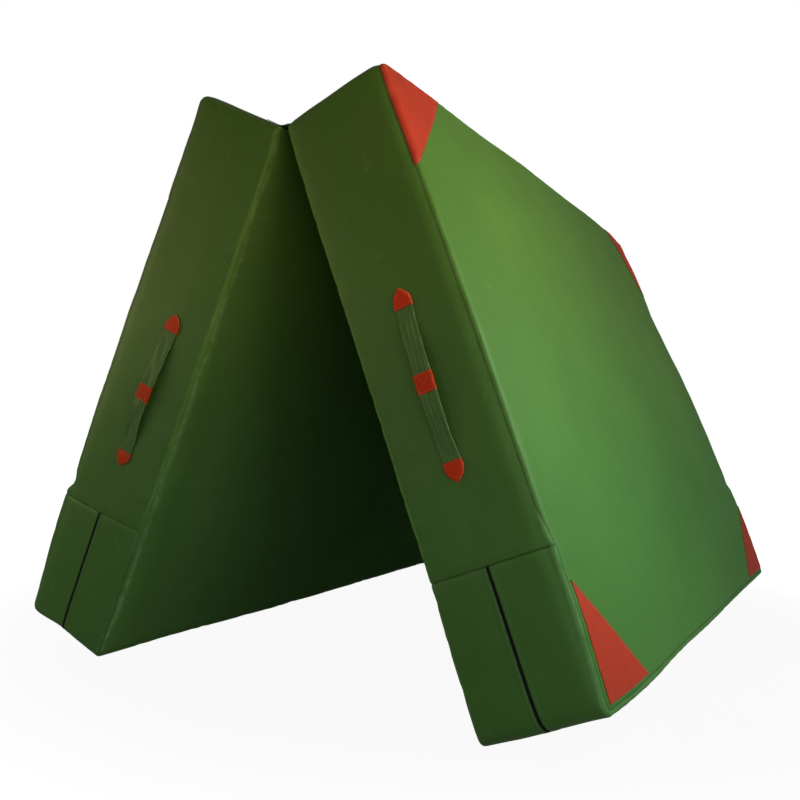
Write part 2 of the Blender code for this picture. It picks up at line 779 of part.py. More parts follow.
def stand(panels, strip):
    """Lifts the fold axis until the lowest edge of the panels is on the floor."""
    bpy.context.view_layer.update()
    lowest = 0.0
    for obj in bpy.data.objects:
        if obj.parent in [panel.axis for panel in panels] and obj.type == "MESH":
            lowest = min(lowest, min((obj.matrix_world @ vert.co).z for vert in obj.data.vertices))
    for obj in [panel.axis for panel in panels] + [strip]:
        obj.location.z = -lowest
    return -lowest


def main():
    clear_scene()
    mat = new_collection("folding_mat")
    cutters = new_collection("helpers", hidden=True)
    panels = [Panel("right", 1, mat, cutters), Panel("left", -1, mat, cutters)]
    bpy.context.view_layer.update()
    strip = hinge_strip(panels, mat)
    places = [cover_and_fill(panel) for panel in panels]
    fold_height = stand(panels, strip)
    bpy.context.view_layer.update()
    print(f"fold axis at z = {fold_height:.6f} m")
    for panel, (frame, pivot_height) in zip(panels, places):
        place = frame.matrix_world
        up_zip = place.to_3x3() @ Vector((0, 0, 1))
        pivot = place @ Vector((0, pivot_height, 0))
        print(panel.name, "slider at", tuple(place.translation), "up the zip", tuple(up_zip))
        print(panel.name, "pull pivot at", tuple(pivot))


main()
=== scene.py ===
"""Folding gymnastics mat: two foam slabs in sewn covers of green coated cloth with red corners.

It stands as a tent on its zipped ends, hung from the fabric hinge along its top. Every cut piece of a
cover is laid where the pattern puts it, over the foam, and then given the slack, puckers and stitches
that sewing leaves. Places on a panel are (across, wide, down) in metres: out from the inner face,
along the fold, and down from the top end.
"""

import math
from functools import partial

import bmesh
import bpy
import numpy as np
from mathutils import Matrix, Vector
from mathutils.bvhtree import BVHTree


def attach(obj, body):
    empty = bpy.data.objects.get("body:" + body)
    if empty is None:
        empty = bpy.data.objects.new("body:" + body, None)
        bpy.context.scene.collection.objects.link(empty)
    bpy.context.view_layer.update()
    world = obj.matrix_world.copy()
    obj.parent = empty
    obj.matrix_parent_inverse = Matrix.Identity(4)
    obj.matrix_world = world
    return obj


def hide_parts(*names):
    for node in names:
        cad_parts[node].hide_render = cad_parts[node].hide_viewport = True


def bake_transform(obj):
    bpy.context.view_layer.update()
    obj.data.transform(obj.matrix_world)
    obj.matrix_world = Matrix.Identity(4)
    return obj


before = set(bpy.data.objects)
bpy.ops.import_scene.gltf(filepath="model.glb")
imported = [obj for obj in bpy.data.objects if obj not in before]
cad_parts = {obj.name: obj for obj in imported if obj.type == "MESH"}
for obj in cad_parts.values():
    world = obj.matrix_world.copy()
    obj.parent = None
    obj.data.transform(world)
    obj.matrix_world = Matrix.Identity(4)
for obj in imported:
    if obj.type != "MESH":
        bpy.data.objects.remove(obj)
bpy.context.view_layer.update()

# Foam slabs. Each panel is filled by one block of soft foam, cut square with rounded edges and a
# little full in the middle. It is slid in through the zipped end, and the zip presses a groove in it.
PANELS = {"right": 1, "left": -1}
FOLD_HEIGHT = 0.924822
LEAN = math.radians(44.5 / 2)
FOLD_ALLOWANCE = 0.0055
PANEL_LENGTH = 1.000
PANEL_WIDTH = 1.400
PANEL_THICKNESS = 0.190
HALF_WIDTH = PANEL_WIDTH / 2
MIDDLE = PANEL_THICKNESS / 2
EDGE_RADIUS = 0.007
CORNER_RADIUS = 0.018
CROWN_REACH = 0.180
FACE_CROWN = 0.005
SIDE_CROWN = 0.003
OUTER_SWELL = 0.0035
WALL_BULGE = 0.003
WALL_FLAT = 0.040
ZIP_START = 0.766
SEAM_TAPER = 0.055
TOP_SEAM, SIDE_SEAM, ZIP_SIDE_SEAM, BOTTOM_SEAM = -0.0095, -0.0095, 0.0030, 0.0020
SEAM_GAP = 0.00005
TOP_SEAM_DOWN, BOTTOM_SEAM_DOWN = 0.013, PANEL_LENGTH - 0.016
INNER_GIVE = 0.0002
ZIP_KINK = {("left", -1): 0.0062, ("left", 1): 0.0025, ("right", -1): 0.0014, ("right", 1): 0.0030}
KINK_START = {"left": ZIP_START - 0.028, "right": ZIP_START - 0.014}
BOTTOM_ROUNDING = {"left": 0.0020, "right": 0.0060}
STRAIGHT = 0.9999
WELD_REACH = 0.0009
CLOTH_STEP = 0.0095
CORNER_STEPS = (1.0, 0.94, 0.88, 0.80, 0.70, 0.58, 0.40, 0.20)
CROSS_ROW = 0.0068
SEAM_STEPS = (-0.014, -0.0092, -0.0080, -CROSS_ROW, -0.0056, -0.0044, -0.0025)
SEAM_STEPS += (-0.001, 0.0, 0.001, 0.0025, 0.0045, 0.008)


def smooth(share):
    share = np.clip(share, 0, 1)
    return share * share * (3 - 2 * share)


def hump(*shares):
    """1 at a place, fading to 0 away from it. Each share is a distance over the hump's reach that way."""
    return np.exp(-sum(np.square(share) for share in shares))


def above(full, level):
    """How far a swelling stands over the face's own fullness, without a hard line where they meet."""
    return (full - level + np.hypot(full - level, 0.0008)) / 2


def place(across, wide, down):
    return np.stack(np.broadcast_arrays(across, wide, down), axis=-1).astype(float)


def settle(panel, spots):
    """Moves places to where the standing mat's soft foam has slumped or swollen to."""
    across, wide, down = np.moveaxis(spots, -1, 0)
    through = np.clip(across / PANEL_THICKNESS, 0, 1)
    near, far = 1 - smooth((wide + HALF_WIDTH) / 0.9), smooth((wide + 0.25) / 0.95)
    to_bottom, to_near, to_far = PANEL_LENGTH - down, wide + HALF_WIDTH, HALF_WIDTH - wide
    to_side = HALF_WIDTH - np.abs(wide)
    rounded = BOTTOM_ROUNDING[panel] * hump(to_bottom / 0.030, to_side / 0.030) * 4 * through * (1 - through)
    eased = 0.0028 * hump(to_side / 0.010, (PANEL_THICKNESS - across) / 0.010) * smooth((down - 0.015) / 0.05)
    by_fold = smooth((down + FOLD_ALLOWANCE) / 0.07)
    across = across - eased
    wide, down = wide - np.sign(wide) * (rounded + eased), down - rounded
    if panel == "left":
        raised = 0.0092 * through**2 * near * (1 - smooth(down / 0.35))
        low_corner = 0.008 * hump(to_bottom / 0.10, to_near / 0.12) * smooth((through - 0.55) / 0.4)
        seam_up = 0.026 * (1 - 0.9 * through) * hump((down - ZIP_START) / 0.10) * near
        squashed = 0.012 * far * hump(to_bottom / 0.20) * (1 - smooth(through / 0.8))
        drawn_in = 0.0065 * through * near * (1 - smooth((down - 0.10) / 0.50))
        filled = 0.0072 * by_fold * (1 - smooth(to_near / 0.20)) * (1 - 0.45 * smooth((down - 0.70) / 0.12))
        filled = above(filled, crown(down, wide)) * (1 - smooth(through / 0.5))
        return place(across - drawn_in - filled, wide, down - raised + low_corner - seam_up - squashed)
    crest = 0.0018 * hump((across - 0.150) / 0.055) * near * (1 - smooth(down / 0.25)) * smooth(through / 0.3)
    pushed_in = far * through * (0.007 * (1 - smooth(down / 0.62)) + 0.013 * hump((down - 0.24) / 0.16))
    spread_low = 0.009 * far * smooth((down - 0.45) / 0.5) * smooth((through - 0.55) / 0.35)
    swollen = 0.003 * by_fold + 0.0035 * smooth((down - ZIP_START + 0.02) / 0.16)
    swollen = above(swollen * (1 - smooth(to_near / 0.30)), crown(down, wide)) * (1 - smooth(through / 0.6))
    soft = hump(to_bottom / 0.075, to_near / 0.085, (PANEL_THICKNESS - across) / 0.075)
    peak = hump(down / 0.035, to_near / 0.035) * smooth((through - 0.90) / 0.10)
    cut_off = hump(down / 0.10, to_far / 0.12) * smooth(through)
    return place(
        across - pushed_in + spread_low - swollen - 0.002 * soft - 0.008 * cut_off,
        wide + 0.004 * soft + 0.003 * peak - 0.022 * cut_off,
        down - crest - 0.004 * soft + 0.002 * peak + 0.010 * cut_off,
    )


def stand_up(panel, spots):
    """Takes places on a panel to where the standing mat has them."""
    across, wide, down = np.moveaxis(settle(panel, spots), -1, 0)
    out, low = PANELS[panel] * (FOLD_ALLOWANCE + across), -(FOLD_ALLOWANCE + down)
    lean = -PANELS[panel] * LEAN
    high = -out * math.sin(lean) + low * math.cos(lean) + FOLD_HEIGHT
    return place(out * math.cos(lean) + low * math.sin(lean), wide, high)


def waves(spots, wavelength, seed, count=16):
    """A smooth uneven field of about that wavelength, mostly between -1 and 1."""
    draw = np.random.default_rng(seed)
    total = np.zeros(spots.shape[:-1])
    for _ in range(count):
        way = draw.normal(size=3)
        way *= 2 * math.pi / (wavelength * draw.uniform(0.75, 1.35) * np.linalg.norm(way))
        total += np.sin(spots @ way + draw.uniform(0, 2 * math.pi))
    return total / math.sqrt(count)


def rise(distance):
    return 1 - (1 - np.clip(distance / CROWN_REACH, 0, 1)) ** 2


def crown(down, wide):
    """How far the foam stands proud of a face's ends."""
    from_end = np.clip(np.minimum(down, PANEL_LENGTH - down), 0, None)
    from_side = np.clip(HALF_WIDTH - np.abs(wide), 0, None)
    return rise(from_end) * (SIDE_CROWN + (FACE_CROWN - SIDE_CROWN) * rise(from_side))


def kink(panel, down, wide):
    """The cover's step at the cross seam, where the looser zip end begins, felt near the sides."""
    depth = np.where(wide < 0, ZIP_KINK[panel, -1], ZIP_KINK[panel, 1])
    near_side = 1 - smooth((HALF_WIDTH - np.abs(wide)) / 0.16)
    past = down - KINK_START[panel]
    step = smooth(past / 0.022) * (1 - 0.75 * smooth((down - 0.80) / 0.20))
    return depth * near_side * (step - 0.45 * hump((past + 0.006) / 0.013))


def swell_out(panel, down, wide):
    """How much further an outer face stands out than the pattern says."""
    fullness = OUTER_SWELL * np.sin(math.pi * np.clip(down, 0, 1) ** 1.15)
    return crown(down, wide) + fullness + kink(panel, down, wide)


def past_middle(across, reach):
    """From 0 on a wall's level middle to 1 at a distance of reach from the nearer face."""
    share = (np.abs(across - MIDDLE) - WALL_FLAT / 2) / (MIDDLE - reach - WALL_FLAT / 2)
    return np.clip(share, 0, 1)


def bulge(across):
    return WALL_BULGE * (1 - past_middle(across, EDGE_RADIUS) ** 2)


def seam_place(down, out_down, out_wide):
    """How far past the start of the edge's rounding a seam runs. Below 0 it is on the face."""
    widened = np.clip((down - ZIP_START + SEAM_TAPER) / SEAM_TAPER, 0, 1)
    side = SIDE_SEAM + (ZIP_SIDE_SEAM - SIDE_SEAM) * widened
    end = np.where(out_down > 0, BOTTOM_SEAM, TOP_SEAM)
    return -(side * out_wide**2 + end * out_down**2)


def turned(run, depth):
    """Where cloth that far over an edge lies: in from the wall, under the face, and its two ways out."""
    angle = np.clip(run, 0, None) / EDGE_RADIUS
    radius = EDGE_RADIUS - depth
    inset = EDGE_RADIUS - np.minimum(run, 0) - radius * np.sin(angle)
    return inset, EDGE_RADIUS - radius * np.cos(angle), np.cos(angle), np.sin(angle)


def slack(panel, spots, seam_spots, from_seam):
    """How far the cover stands off its pattern: slow sag, small dents, the seam's valley and its puckers."""
    seed = 11 if panel == "right" else 47
    sag = 0.0008 * waves(spots, 0.30, seed) + 0.00035 * waves(spots, 0.11, seed + 1)
    sag += 0.00012 * waves(spots, 0.045, seed + 2)
    by_fold = np.clip(1 - np.minimum(spots[..., 0], spots[..., 2]) / 0.06, 0, 1)
    valley = -0.0006 * hump(from_seam / 0.0018) - 0.0005 * hump(from_seam / 0.006)
    valley *= 1 - 0.75 * smooth((ZIP_START - 0.01 - spots[..., 2]) / 0.03)
    puff = 0.0005 * (from_seam / 0.009) * np.exp(1 - from_seam / 0.009)
    pinch = np.clip(waves(seam_spots, 0.024, seed + 3) - 0.15, 0, 1)
    by_inner_face = 1 - smooth((spots[..., 0] - 0.02) / 0.03)
    reach = (0.012 + 0.007 * waves(seam_spots, 0.09, seed + 4)) * (1 + 0.7 * by_inner_face)
    pucker = -(0.0007 + 0.0006 * by_inner_face) * pinch * np.exp(-from_seam / np.clip(reach, 0.006, 0.04))
    return sag - 0.0012 * by_fold + valley + puff + pucker


def cut_lines(start, end, marks=()):
    """Lines over a cut piece: (where its corner begins, how far into the corner, which way)."""
    by_marks = [mark + step for mark in marks for step in SEAM_STEPS]
    stops = [start + CORNER_RADIUS, *by_marks, end - CORNER_RADIUS]
    middle = [stops[0]]
    for low, high in zip(stops, stops[1:]):
        middle += list(np.linspace(low, high, max(1, round((high - low) / CLOTH_STEP)) + 1))[1:]
    corner = len(CORNER_STEPS)
    begins = np.array([stops[0]] * corner + middle + [stops[-1]] * corner)
    into = np.array([*CORNER_STEPS] + [0.0] * len(middle) + [*reversed(CORNER_STEPS)])
    return begins, into, np.array([-1] * corner + [1] * (len(middle) + corner))


DOWN_LINES = cut_lines(0, PANEL_LENGTH, (ZIP_START,))
WIDE_LINES = cut_lines(-HALF_WIDTH, HALF_WIDTH)
ZIP_LINE = int(np.argmin(np.abs(DOWN_LINES[0] - ZIP_START)))
LAST_DOWN, LAST_WIDE = len(DOWN_LINES[0]) - 1, len(WIDE_LINES[0]) - 1


def outline_spot(row, column):
    """Where the corner begins there, (down, wide), and the way out from there on a disc of radius 1."""
    down, into_down, way_down = (part[row] for part in DOWN_LINES)
    wide, into_wide, way_wide = (part[column] for part in WIDE_LINES)
    out_down = way_down * into_down * np.sqrt(1 - into_wide**2 / 2)
    out_wide = way_wide * into_wide * np.sqrt(1 - into_down**2 / 2)
    return down, wide, out_down, out_wide


def face_cloth(panel, outer, rows, columns, depth, gap=SEAM_GAP):
    """Points of a face's cloth between its seams, with how far each is from the seam."""
    down, wide, off_down, off_wide = np.broadcast_arrays(*outline_spot(rows[:, None], columns[None, :]))
    reach = np.hypot(off_down, off_wide)
    bent = reach > 0
    out_down, out_wide = (np.where(bent, off, 0) / np.where(bent, reach, 1) for off in (off_down, off_wide))
    seam = seam_place(down, out_down, out_wide)
    level = CORNER_RADIUS - EDGE_RADIUS
    run = reach * (level + seam - gap) - level
    inset, sunk, out_face, out_wall = turned(run, depth)
    seam_reach = CORNER_RADIUS - turned(seam, 0.0)[0]
    to_side = HALF_WIDTH - CORNER_RADIUS - np.abs(wide) + level + seam_place(down, 0.0, 1.0)
    to_top = down - CORNER_RADIUS + level + seam_place(down, -1.0, 0.0)
    to_bottom = PANEL_LENGTH - CORNER_RADIUS - down + level + seam_place(down, 1.0, 0.0)
    to_end = np.minimum(to_top, to_bottom)
    from_seam = np.where(bent, seam - run, np.minimum(to_side, to_end))
    by_side = to_side < to_end
    end_down = np.where(to_top < to_bottom, TOP_SEAM_DOWN, BOTTOM_SEAM_DOWN)
    seam_down = np.where(bent, down + seam_reach * out_down, np.where(by_side, down, end_down))
    edge_wide = np.sign(wide) * (HALF_WIDTH - EDGE_RADIUS)
    seam_wide = np.where(bent, wide + seam_reach * out_wide, np.where(by_side, edge_wide, wide))
    at_down, at_wide = down + (CORNER_RADIUS - inset) * out_down, wide + (CORNER_RADIUS - inset) * out_wide
    unbent = turned(run, 0.0)[1]
    laid = place(PANEL_THICKNESS - unbent if outer else unbent, at_wide, at_down)
    give = slack(panel, laid, place(PANEL_THICKNESS if outer else 0.0, seam_wide, seam_down), from_seam)
    if outer:
        across = PANEL_THICKNESS - sunk + swell_out(panel, at_down, at_wide) + give * out_face
    else:
        give = np.minimum(give, INNER_GIVE)
        across = sunk - crown(at_down, at_wide) - give * out_face
    out = give * out_wall
    return place(across, at_wide + out * out_wide, at_down + out * out_down), from_seam


def outline_steps():
    """Rows and columns once round a panel, from the near side's cross seam by way of the free end."""
    spots = [(row, 0) for row in range(ZIP_LINE, LAST_DOWN + 1)]
    spots += [(LAST_DOWN, column) for column in range(1, LAST_WIDE)]
    spots += [(row, LAST_WIDE) for row in range(LAST_DOWN, -1, -1)]
    spots += [(0, column) for column in range(LAST_WIDE - 1, 0, -1)]
    return np.array(spots + [(row, 0) for row in range(ZIP_LINE)]).T


STATION_ROWS, STATION_COLUMNS = outline_steps()
STATIONS = np.stack(outline_spot(STATION_ROWS, STATION_COLUMNS), axis=-1)
FAR_SEAM = (LAST_DOWN - ZIP_LINE) * 2 + LAST_WIDE
TURN_STEPS = np.array([0, 0.05, 0.11, 0.18, 0.26, 0.35, 0.45, 0.56, 0.67, 0.78, 0.89, 1.0])


def edge_turn(stations, depth, gap=SEAM_GAP):
    """A wall's turn onto the inner face, from seam to wall: inset, across, the ways out, from the seam."""
    seam = seam_place(stations[:, 0], stations[:, 2], stations[:, 3])[:, None]
    run = seam + gap + (EDGE_RADIUS * math.pi / 2 - seam - gap) * TURN_STEPS
    inset, across, out_face, out_wall = turned(run, depth)
    return np.stack([inset, across, -out_face, out_wall, run - seam], axis=-1)


def wall_rows(stations, stops, depth, run):
    """The level part of a wall's section, at each of the stops across it."""
    stops = np.broadcast_to(np.asarray(stops, float), (len(stations), np.shape(stops)[-1]))
    parts = [np.full(stops.shape, depth), stops, np.zeros(stops.shape), np.ones(stops.shape)]
    return np.stack(parts + [run + stops - EDGE_RADIUS], axis=-1)


def mirrored(section):
    """The same section, from the outer face's seam."""
    flipped = section[:, ::-1].copy()
    flipped[..., 1] = PANEL_THICKNESS - flipped[..., 1]
    flipped[..., 2] *= -1
    return flipped


def half_section(stations, stops, depth=0.0, gap=SEAM_GAP):
    turn = edge_turn(stations, depth, gap)
    return np.concatenate([turn, wall_rows(stations, stops, depth, turn[:, -1:, 4])], axis=1)


def wall_cloth(panel, stations, section, extra=0.0):
    """Points of a wall's cloth, with how far each is from the nearest seam."""
    inset, across, out_across, out_wall, run = np.moveaxis(section, -1, 0)
    down, wide, out_down, out_wide = (stations[:, None, part] for part in range(4))
    reach = CORNER_RADIUS - inset
    swell = bulge(across)
    at_down, at_wide = down + (reach + swell) * out_down, wide + (reach + swell) * out_wide
    outer = across > MIDDLE
    lift = np.where(outer, swell_out(panel, at_down, at_wide), -crown(at_down, at_wide))
    raised = across + lift * past_middle(across, EDGE_RADIUS)
    to_cross = np.where(np.abs(out_wide) > STRAIGHT, np.abs(down - ZIP_START), 1.0)
    from_seam = np.minimum(run, to_cross)
    seam_reach = CORNER_RADIUS - turned(seam_place(down, out_down, out_wide), 0.0)[0]
    face = np.where(outer, PANEL_THICKNESS, 0.0)
    at_lip = place(face, wide + seam_reach * out_wide, down + seam_reach * out_down)
    at_cross = place(across, wide + CORNER_RADIUS * out_wide, ZIP_START)
    seam_spots = np.where((to_cross < run)[..., None], at_cross, at_lip)
    spots = place(across, wide + reach * out_wide, down + reach * out_down)
    give = slack(panel, spots, seam_spots, from_seam) + extra
    out = give * out_wall
    return place(raised + give * out_across, at_wide + out * out_wide, at_down + out * out_down), from_seam


def net(rows, columns):
    """The four-cornered cells of a net of that many rows and columns of points."""
    corner = (np.arange(rows - 1)[:, None] * columns + np.arange(columns - 1)[None, :]).ravel()
    return np.stack([corner, corner + 1, corner + columns + 1, corner + columns], axis=-1)


def make_piece(name, points, cells, finish, outwards=None, cut=None, marks=None):
    """Makes a piece of points in the standing mat. cut is its flat pattern, marks are its finish's masks."""
    points = points.reshape(-1, 3)
    mesh = bpy.data.meshes.new(name)
    if outwards is not None:
        corners = points[cells[:, :3]]
        facing = np.cross(corners[:, 1] - corners[:, 0], corners[:, 2] - corners[:, 0])
        if np.sum(facing * (corners.mean(axis=1) - outwards)) < 0:
            cells = cells[:, ::-1]
    mesh.from_pydata(points.tolist(), [], cells.tolist())
    mesh.shade_smooth()
    if cut is not None:
        layer = mesh.uv_layers.new(name="cut")
        corner_of = np.empty(len(mesh.loops), int)
        mesh.loops.foreach_get("vertex_index", corner_of)
        layer.data.foreach_set("uv", cut.reshape(-1, 2)[corner_of].ravel())
    for mark, values in (marks or {}).items():
        mesh.attributes.new(mark, "FLOAT", "POINT").data.foreach_set("value", np.ravel(values))
    mesh.materials.append(finish)
    piece = bpy.data.objects.new(name, mesh)
    bpy.context.scene.collection.objects.link(piece)
    return piece


def rework(piece, *steps):
    """Changes a piece's mesh by each of the steps, and smooths it again."""
    work = bmesh.new()
    work.from_mesh(piece.data)
    for step in steps:
        step(work)
    work.to_mesh(piece.data)
    work.free()
    piece.data.shade_smooth()


def weld(work):
    bmesh.ops.remove_doubles(work, verts=work.verts, dist=WELD_REACH)


def face_outwards(work):
    bmesh.ops.recalc_face_normals(work, faces=work.faces)


def feed(tree, node, inputs):
    """Sets a node's inputs, by name or number, to values or to the outputs of other nodes."""
    for socket, value in inputs.items():
        if isinstance(value, bpy.types.NodeSocket):
            tree.links.new(value, node.inputs[socket])
        else:
            node.inputs[socket].default_value = value


def add(tree, kind, inputs):
    node = tree.nodes.new(f"ShaderNode{kind}")
    feed(tree, node, inputs)
    return node


def noise(tree, where, scale, detail=2.0, rough=0.5):
    inputs = {"Vector": where, "Scale": scale, "Detail": detail, "Roughness": rough}
    return add(tree, "TexNoise", inputs).outputs["Fac"]


def two_tones(tree, share, low, high):
    ramp = add(tree, "ValToRGB", {"Fac": share})
    ramp.color_ramp.elements[0].color, ramp.color_ramp.elements[1].color = (*low, 1), (*high, 1)
    return ramp


def dents(tree, height, depth, strength=1.0):
    return add(tree, "Bump", {"Height": height, "Distance": depth, "Strength": strength}).outputs["Normal"]


def new_finish(name):
    """A new material, its nodes, its shader, and places on the object for its patterns."""
    made = bpy.data.materials.new(name)
    made.use_nodes = True
    tree = made.node_tree
    return made, tree, tree.nodes["Principled BSDF"], tree.nodes.new("ShaderNodeTexCoord").outputs["Object"]


def foam_finish():
    """Open-cell foam: pale yellow, dead matt, with fine pores."""
    made, tree, shader, where = new_finish("cut_foam")
    pores = add(tree, "TexVoronoi", {"Vector": where, "Scale": 900}).outputs["Distance"]
    tone = two_tones(tree, noise(tree, where, 9), (0.62, 0.52, 0.30), (0.78, 0.70, 0.48))
    relief = dents(tree, pores, 0.0006)
    feed(tree, shader, {"Base Color": tone.outputs[0], "Normal": relief, "Roughness": 0.97})
    return made


FOAM_UNDER = 0.0022
ZIP_GROOVE = 0.0042
ZIP_GROOVE_HALF = 0.0175
FOAM_STOPS = [0.03, 0.05, 0.068, MIDDLE - ZIP_GROOVE_HALF - 0.002, MIDDLE - ZIP_GROOVE_HALF, MIDDLE]
cut_foam = foam_finish()
thin_rows = np.unique(np.r_[0, 7, np.arange(8, LAST_DOWN - 8, 3), LAST_DOWN - 7, LAST_DOWN, ZIP_LINE])
thin_columns = np.unique(np.r_[0, 7, np.arange(8, LAST_WIDE - 8, 3), LAST_WIDE - 7, LAST_WIDE])
on_end = np.isin(STATION_ROWS, (0, LAST_DOWN))
kept = np.where(on_end, np.isin(STATION_COLUMNS, thin_columns), np.isin(STATION_ROWS, thin_rows)).nonzero()[0]
kept = np.append(kept, kept[0])
for panel in PANELS:
    half = half_section(STATIONS[kept], FOAM_STOPS, FOAM_UNDER, 0.0)
    half[:, -2:, 0] = np.where(kept <= FAR_SEAM, ZIP_GROOVE, FOAM_UNDER)[:, None]
    wall, _ = wall_cloth(panel, STATIONS[kept], np.concatenate([half, mirrored(half)[:, 1:]], axis=1))
    faces = [face_cloth(panel, outer, thin_rows, thin_columns, FOAM_UNDER, 0.0)[0] for outer in (False, True)]
    points, cells, start = [], [], 0
    for grid in (wall, *faces):
        points.append(grid.reshape(-1, 3))
        cells.append(net(*grid.shape[:2]) + start)
        start += len(points[-1])
    stood = stand_up(panel, np.concatenate(points))
    slab = make_piece(f"{panel}_foam_slab", stood, np.concatenate(cells), cut_foam)
    rework(slab, weld, face_outwards)
    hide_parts(f"{panel}_foam_core")
    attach(slab, f"{panel}_panel")

# Outer and inner sheets. The two faces of each cover, cut from polyester cloth with a green vinyl
# coating, satin with a faint print of the threads. They are sewn to the walls a little in from the edge.
CLOTH = 0.0008


def reckon(tree, kind, *values):
    node = tree.nodes.new("ShaderNodeMath")
    node.operation = kind
    feed(tree, node, dict(enumerate(values)))
    return node.outputs[0]


def coated_cloth():
    """The look of vinyl-coated cloth: mottled, with thread print, grain, creases, scuffs and worn edges,
    darker near seams, with its wear mask also painting highlights, and a painted light tint, warm at the top
    and cool at the bottom.
    """
    group = bpy.data.node_groups.new("coated_cloth", "ShaderNodeTree")
    times, plus = partial(reckon, group, "MULTIPLY"), partial(reckon, group, "ADD")
    for name in ("Colour", "Wear and highlight colour"):
        group.interface.new_socket(name, in_out="INPUT", socket_type="NodeSocketColor")
    for name in ("Mottle", "Wear and highlight", "Scuffs", "Thread pitch", "Gloss", "Painted light share"):
        group.interface.new_socket(name, in_out="INPUT", socket_type="NodeSocketFloat")
    for name, kind in (("Colour", "Color"), ("Roughness", "Float"), ("Height", "Float")):
        group.interface.new_socket(name, in_out="OUTPUT", socket_type=f"NodeSocket{kind}")
    given = group.nodes.new("NodeGroupInput").outputs
    colour, wear_and_highlight_colour = given["Colour"], given["Wear and highlight colour"]
    where = group.nodes.new("ShaderNodeTexCoord").outputs["Object"]
    cut = group.nodes.new("ShaderNodeUVMap")
    cut.uv_map = "cut"

    def mark(name):
        node = group.nodes.new("ShaderNodeAttribute")
        node.attribute_name = name
        return node.outputs["Fac"]

    def cells(feature, scale, vector):
        node = add(group, "TexVoronoi", {"Scale": scale, "Vector": vector})
        node.feature = feature
        return node.outputs["Distance"]

    def stretched(vector, turn, scale):
        return add(group, "Mapping", {"Vector": vector, "Rotation": turn, "Scale": scale}).outputs["Vector"]

    def between(value, low, high, to_low=0.0, to_high=1.0):
        inputs = {"Value": value, "From Min": low, "From Max": high, "To Min": to_low, "To Max": to_high}
        node = add(group, "MapRange", inputs)
        node.interpolation_type = "SMOOTHSTEP"
        return node.outputs["Result"]

    def blend(share, under, over, kind="MIX"):
        node = group.nodes.new("ShaderNodeMix")
        node.data_type, node.blend_type = "RGBA", kind
        feed(group, node, {0: share, 6: under, 7: over})
        return node.outputs[2]

    patchy = noise(group, where, 17.0, 4.0, 0.6)
    fine = noise(group, where, 260.0, 2.0, 0.6)
    threads = add(group, "SeparateXYZ", {0: cut.outputs["UV"]}).outputs
    turns = reckon(group, "DIVIDE", 2 * math.pi, given["Thread pitch"])
    warp, weft = (reckon(group, "SINE", times(threads[axis], turns)) for axis in (0, 1))
    pebble = cells("SMOOTH_F1", 420, where)
    wander = add(group, "TexNoise", {"Vector": where, "Scale": 9.0, "Detail": 3.0}).outputs["Color"]
    bent = group.nodes.new("ShaderNodeMix")
    bent.data_type = "VECTOR"
    feed(group, bent, {0: 0.10, 4: where, 5: wander})
    crack = cells("DISTANCE_TO_EDGE", 6.5, bent.outputs[1])
    crease = times(between(crack, 0.0, 0.010, 1.0, 0.0), between(patchy, 0.50, 0.66))
    strokes = noise(group, stretched(where, (0.5, 0.35, 0.9), (1.0, 7.5, 1.0)), 34.0)
    scuff = times(between(strokes, 0.675, 0.72), between(noise(group, where, 4.3, 1.0), 0.50, 0.62))
    scuff = times(scuff, given["Scuffs"])
    gathered = noise(group, stretched(cut.outputs["UV"], (0, 0, 0), (9.0, 42.0, 1.0)), 1.0)
    gathered = times(between(gathered, 0.48, 0.66), mark("gather"))
    # The wear mask blends towards the lighter wear colour: real wear, and on the left inner sheet also a
    # painted highlight.
    wear_and_highlight = times(mark("wear_and_highlight"), between(noise(group, where, 45.0, 3.0, 0.65), 0.30, 0.66))
    wear_and_highlight = times(wear_and_highlight, given["Wear and highlight"])
    # Darker, near black, within a few millimetres of a seam, in patches.
    seam_darkening = times(between(mark("seam"), 0.0003, 0.0030, 0.34, 0.0), between(patchy, 0.25, 0.6, 0.5, 1.0))

    darker = blend(1.0, colour, (0.80, 0.84, 0.78, 1), "MULTIPLY")
    lighter = blend(1.0, colour, (1.10, 1.07, 1.12, 1), "MULTIPLY")
    mottled = blend(between(noise(group, where, 2.6, 3.0), 0.32, 0.68), darker, lighter)
    tone = blend(given["Mottle"], colour, mottled)
    speckle = blend(1.0, tone, (0.90, 0.91, 0.90, 1), "MULTIPLY")
    tone = blend(times(between(fine, 0.45, 0.75), 0.5), tone, speckle)
    tone = blend(wear_and_highlight, tone, wear_and_highlight_colour)
    for share, strength in ((crease, 0.30), (gathered, 0.14), (scuff, 0.5)):
        tone = blend(times(share, strength), tone, wear_and_highlight_colour)
    tone = blend(seam_darkening, tone, (0.012, 0.020, 0.008, 1))
    # Painted light: the colour is tinted warm towards the top and cool towards the bottom by height, standing
    # in for warm light from above and cool light from below.
    height_share = between(add(group, "SeparateXYZ", {0: where}).outputs[2], 0.20, 0.90)
    painted_light_tint = blend(height_share, (0.78, 0.93, 1.14, 1), (1.12, 0.90, 0.68, 1))
    tone = blend(given["Painted light share"], tone, painted_light_tint, "MULTIPLY")
    rough = plus(given["Gloss"], times(reckon(group, "SUBTRACT", patchy, 0.5), 0.16))
    rough = plus(rough, times(reckon(group, "MAXIMUM", wear_and_highlight, scuff), 0.22))
    height = times(times(warp, weft), 0.16)
    for part, strength in ((pebble, 0.55), (fine, 0.25), (patchy, 1.8), (crease, 1.0), (gathered, 5.0)):
        height = plus(height, times(part, strength))
    feed(group, group.nodes.new("NodeGroupOutput"), {"Colour": tone, "Roughness": rough, "Height": height})
    return group


COATED_CLOTH = coated_cloth()
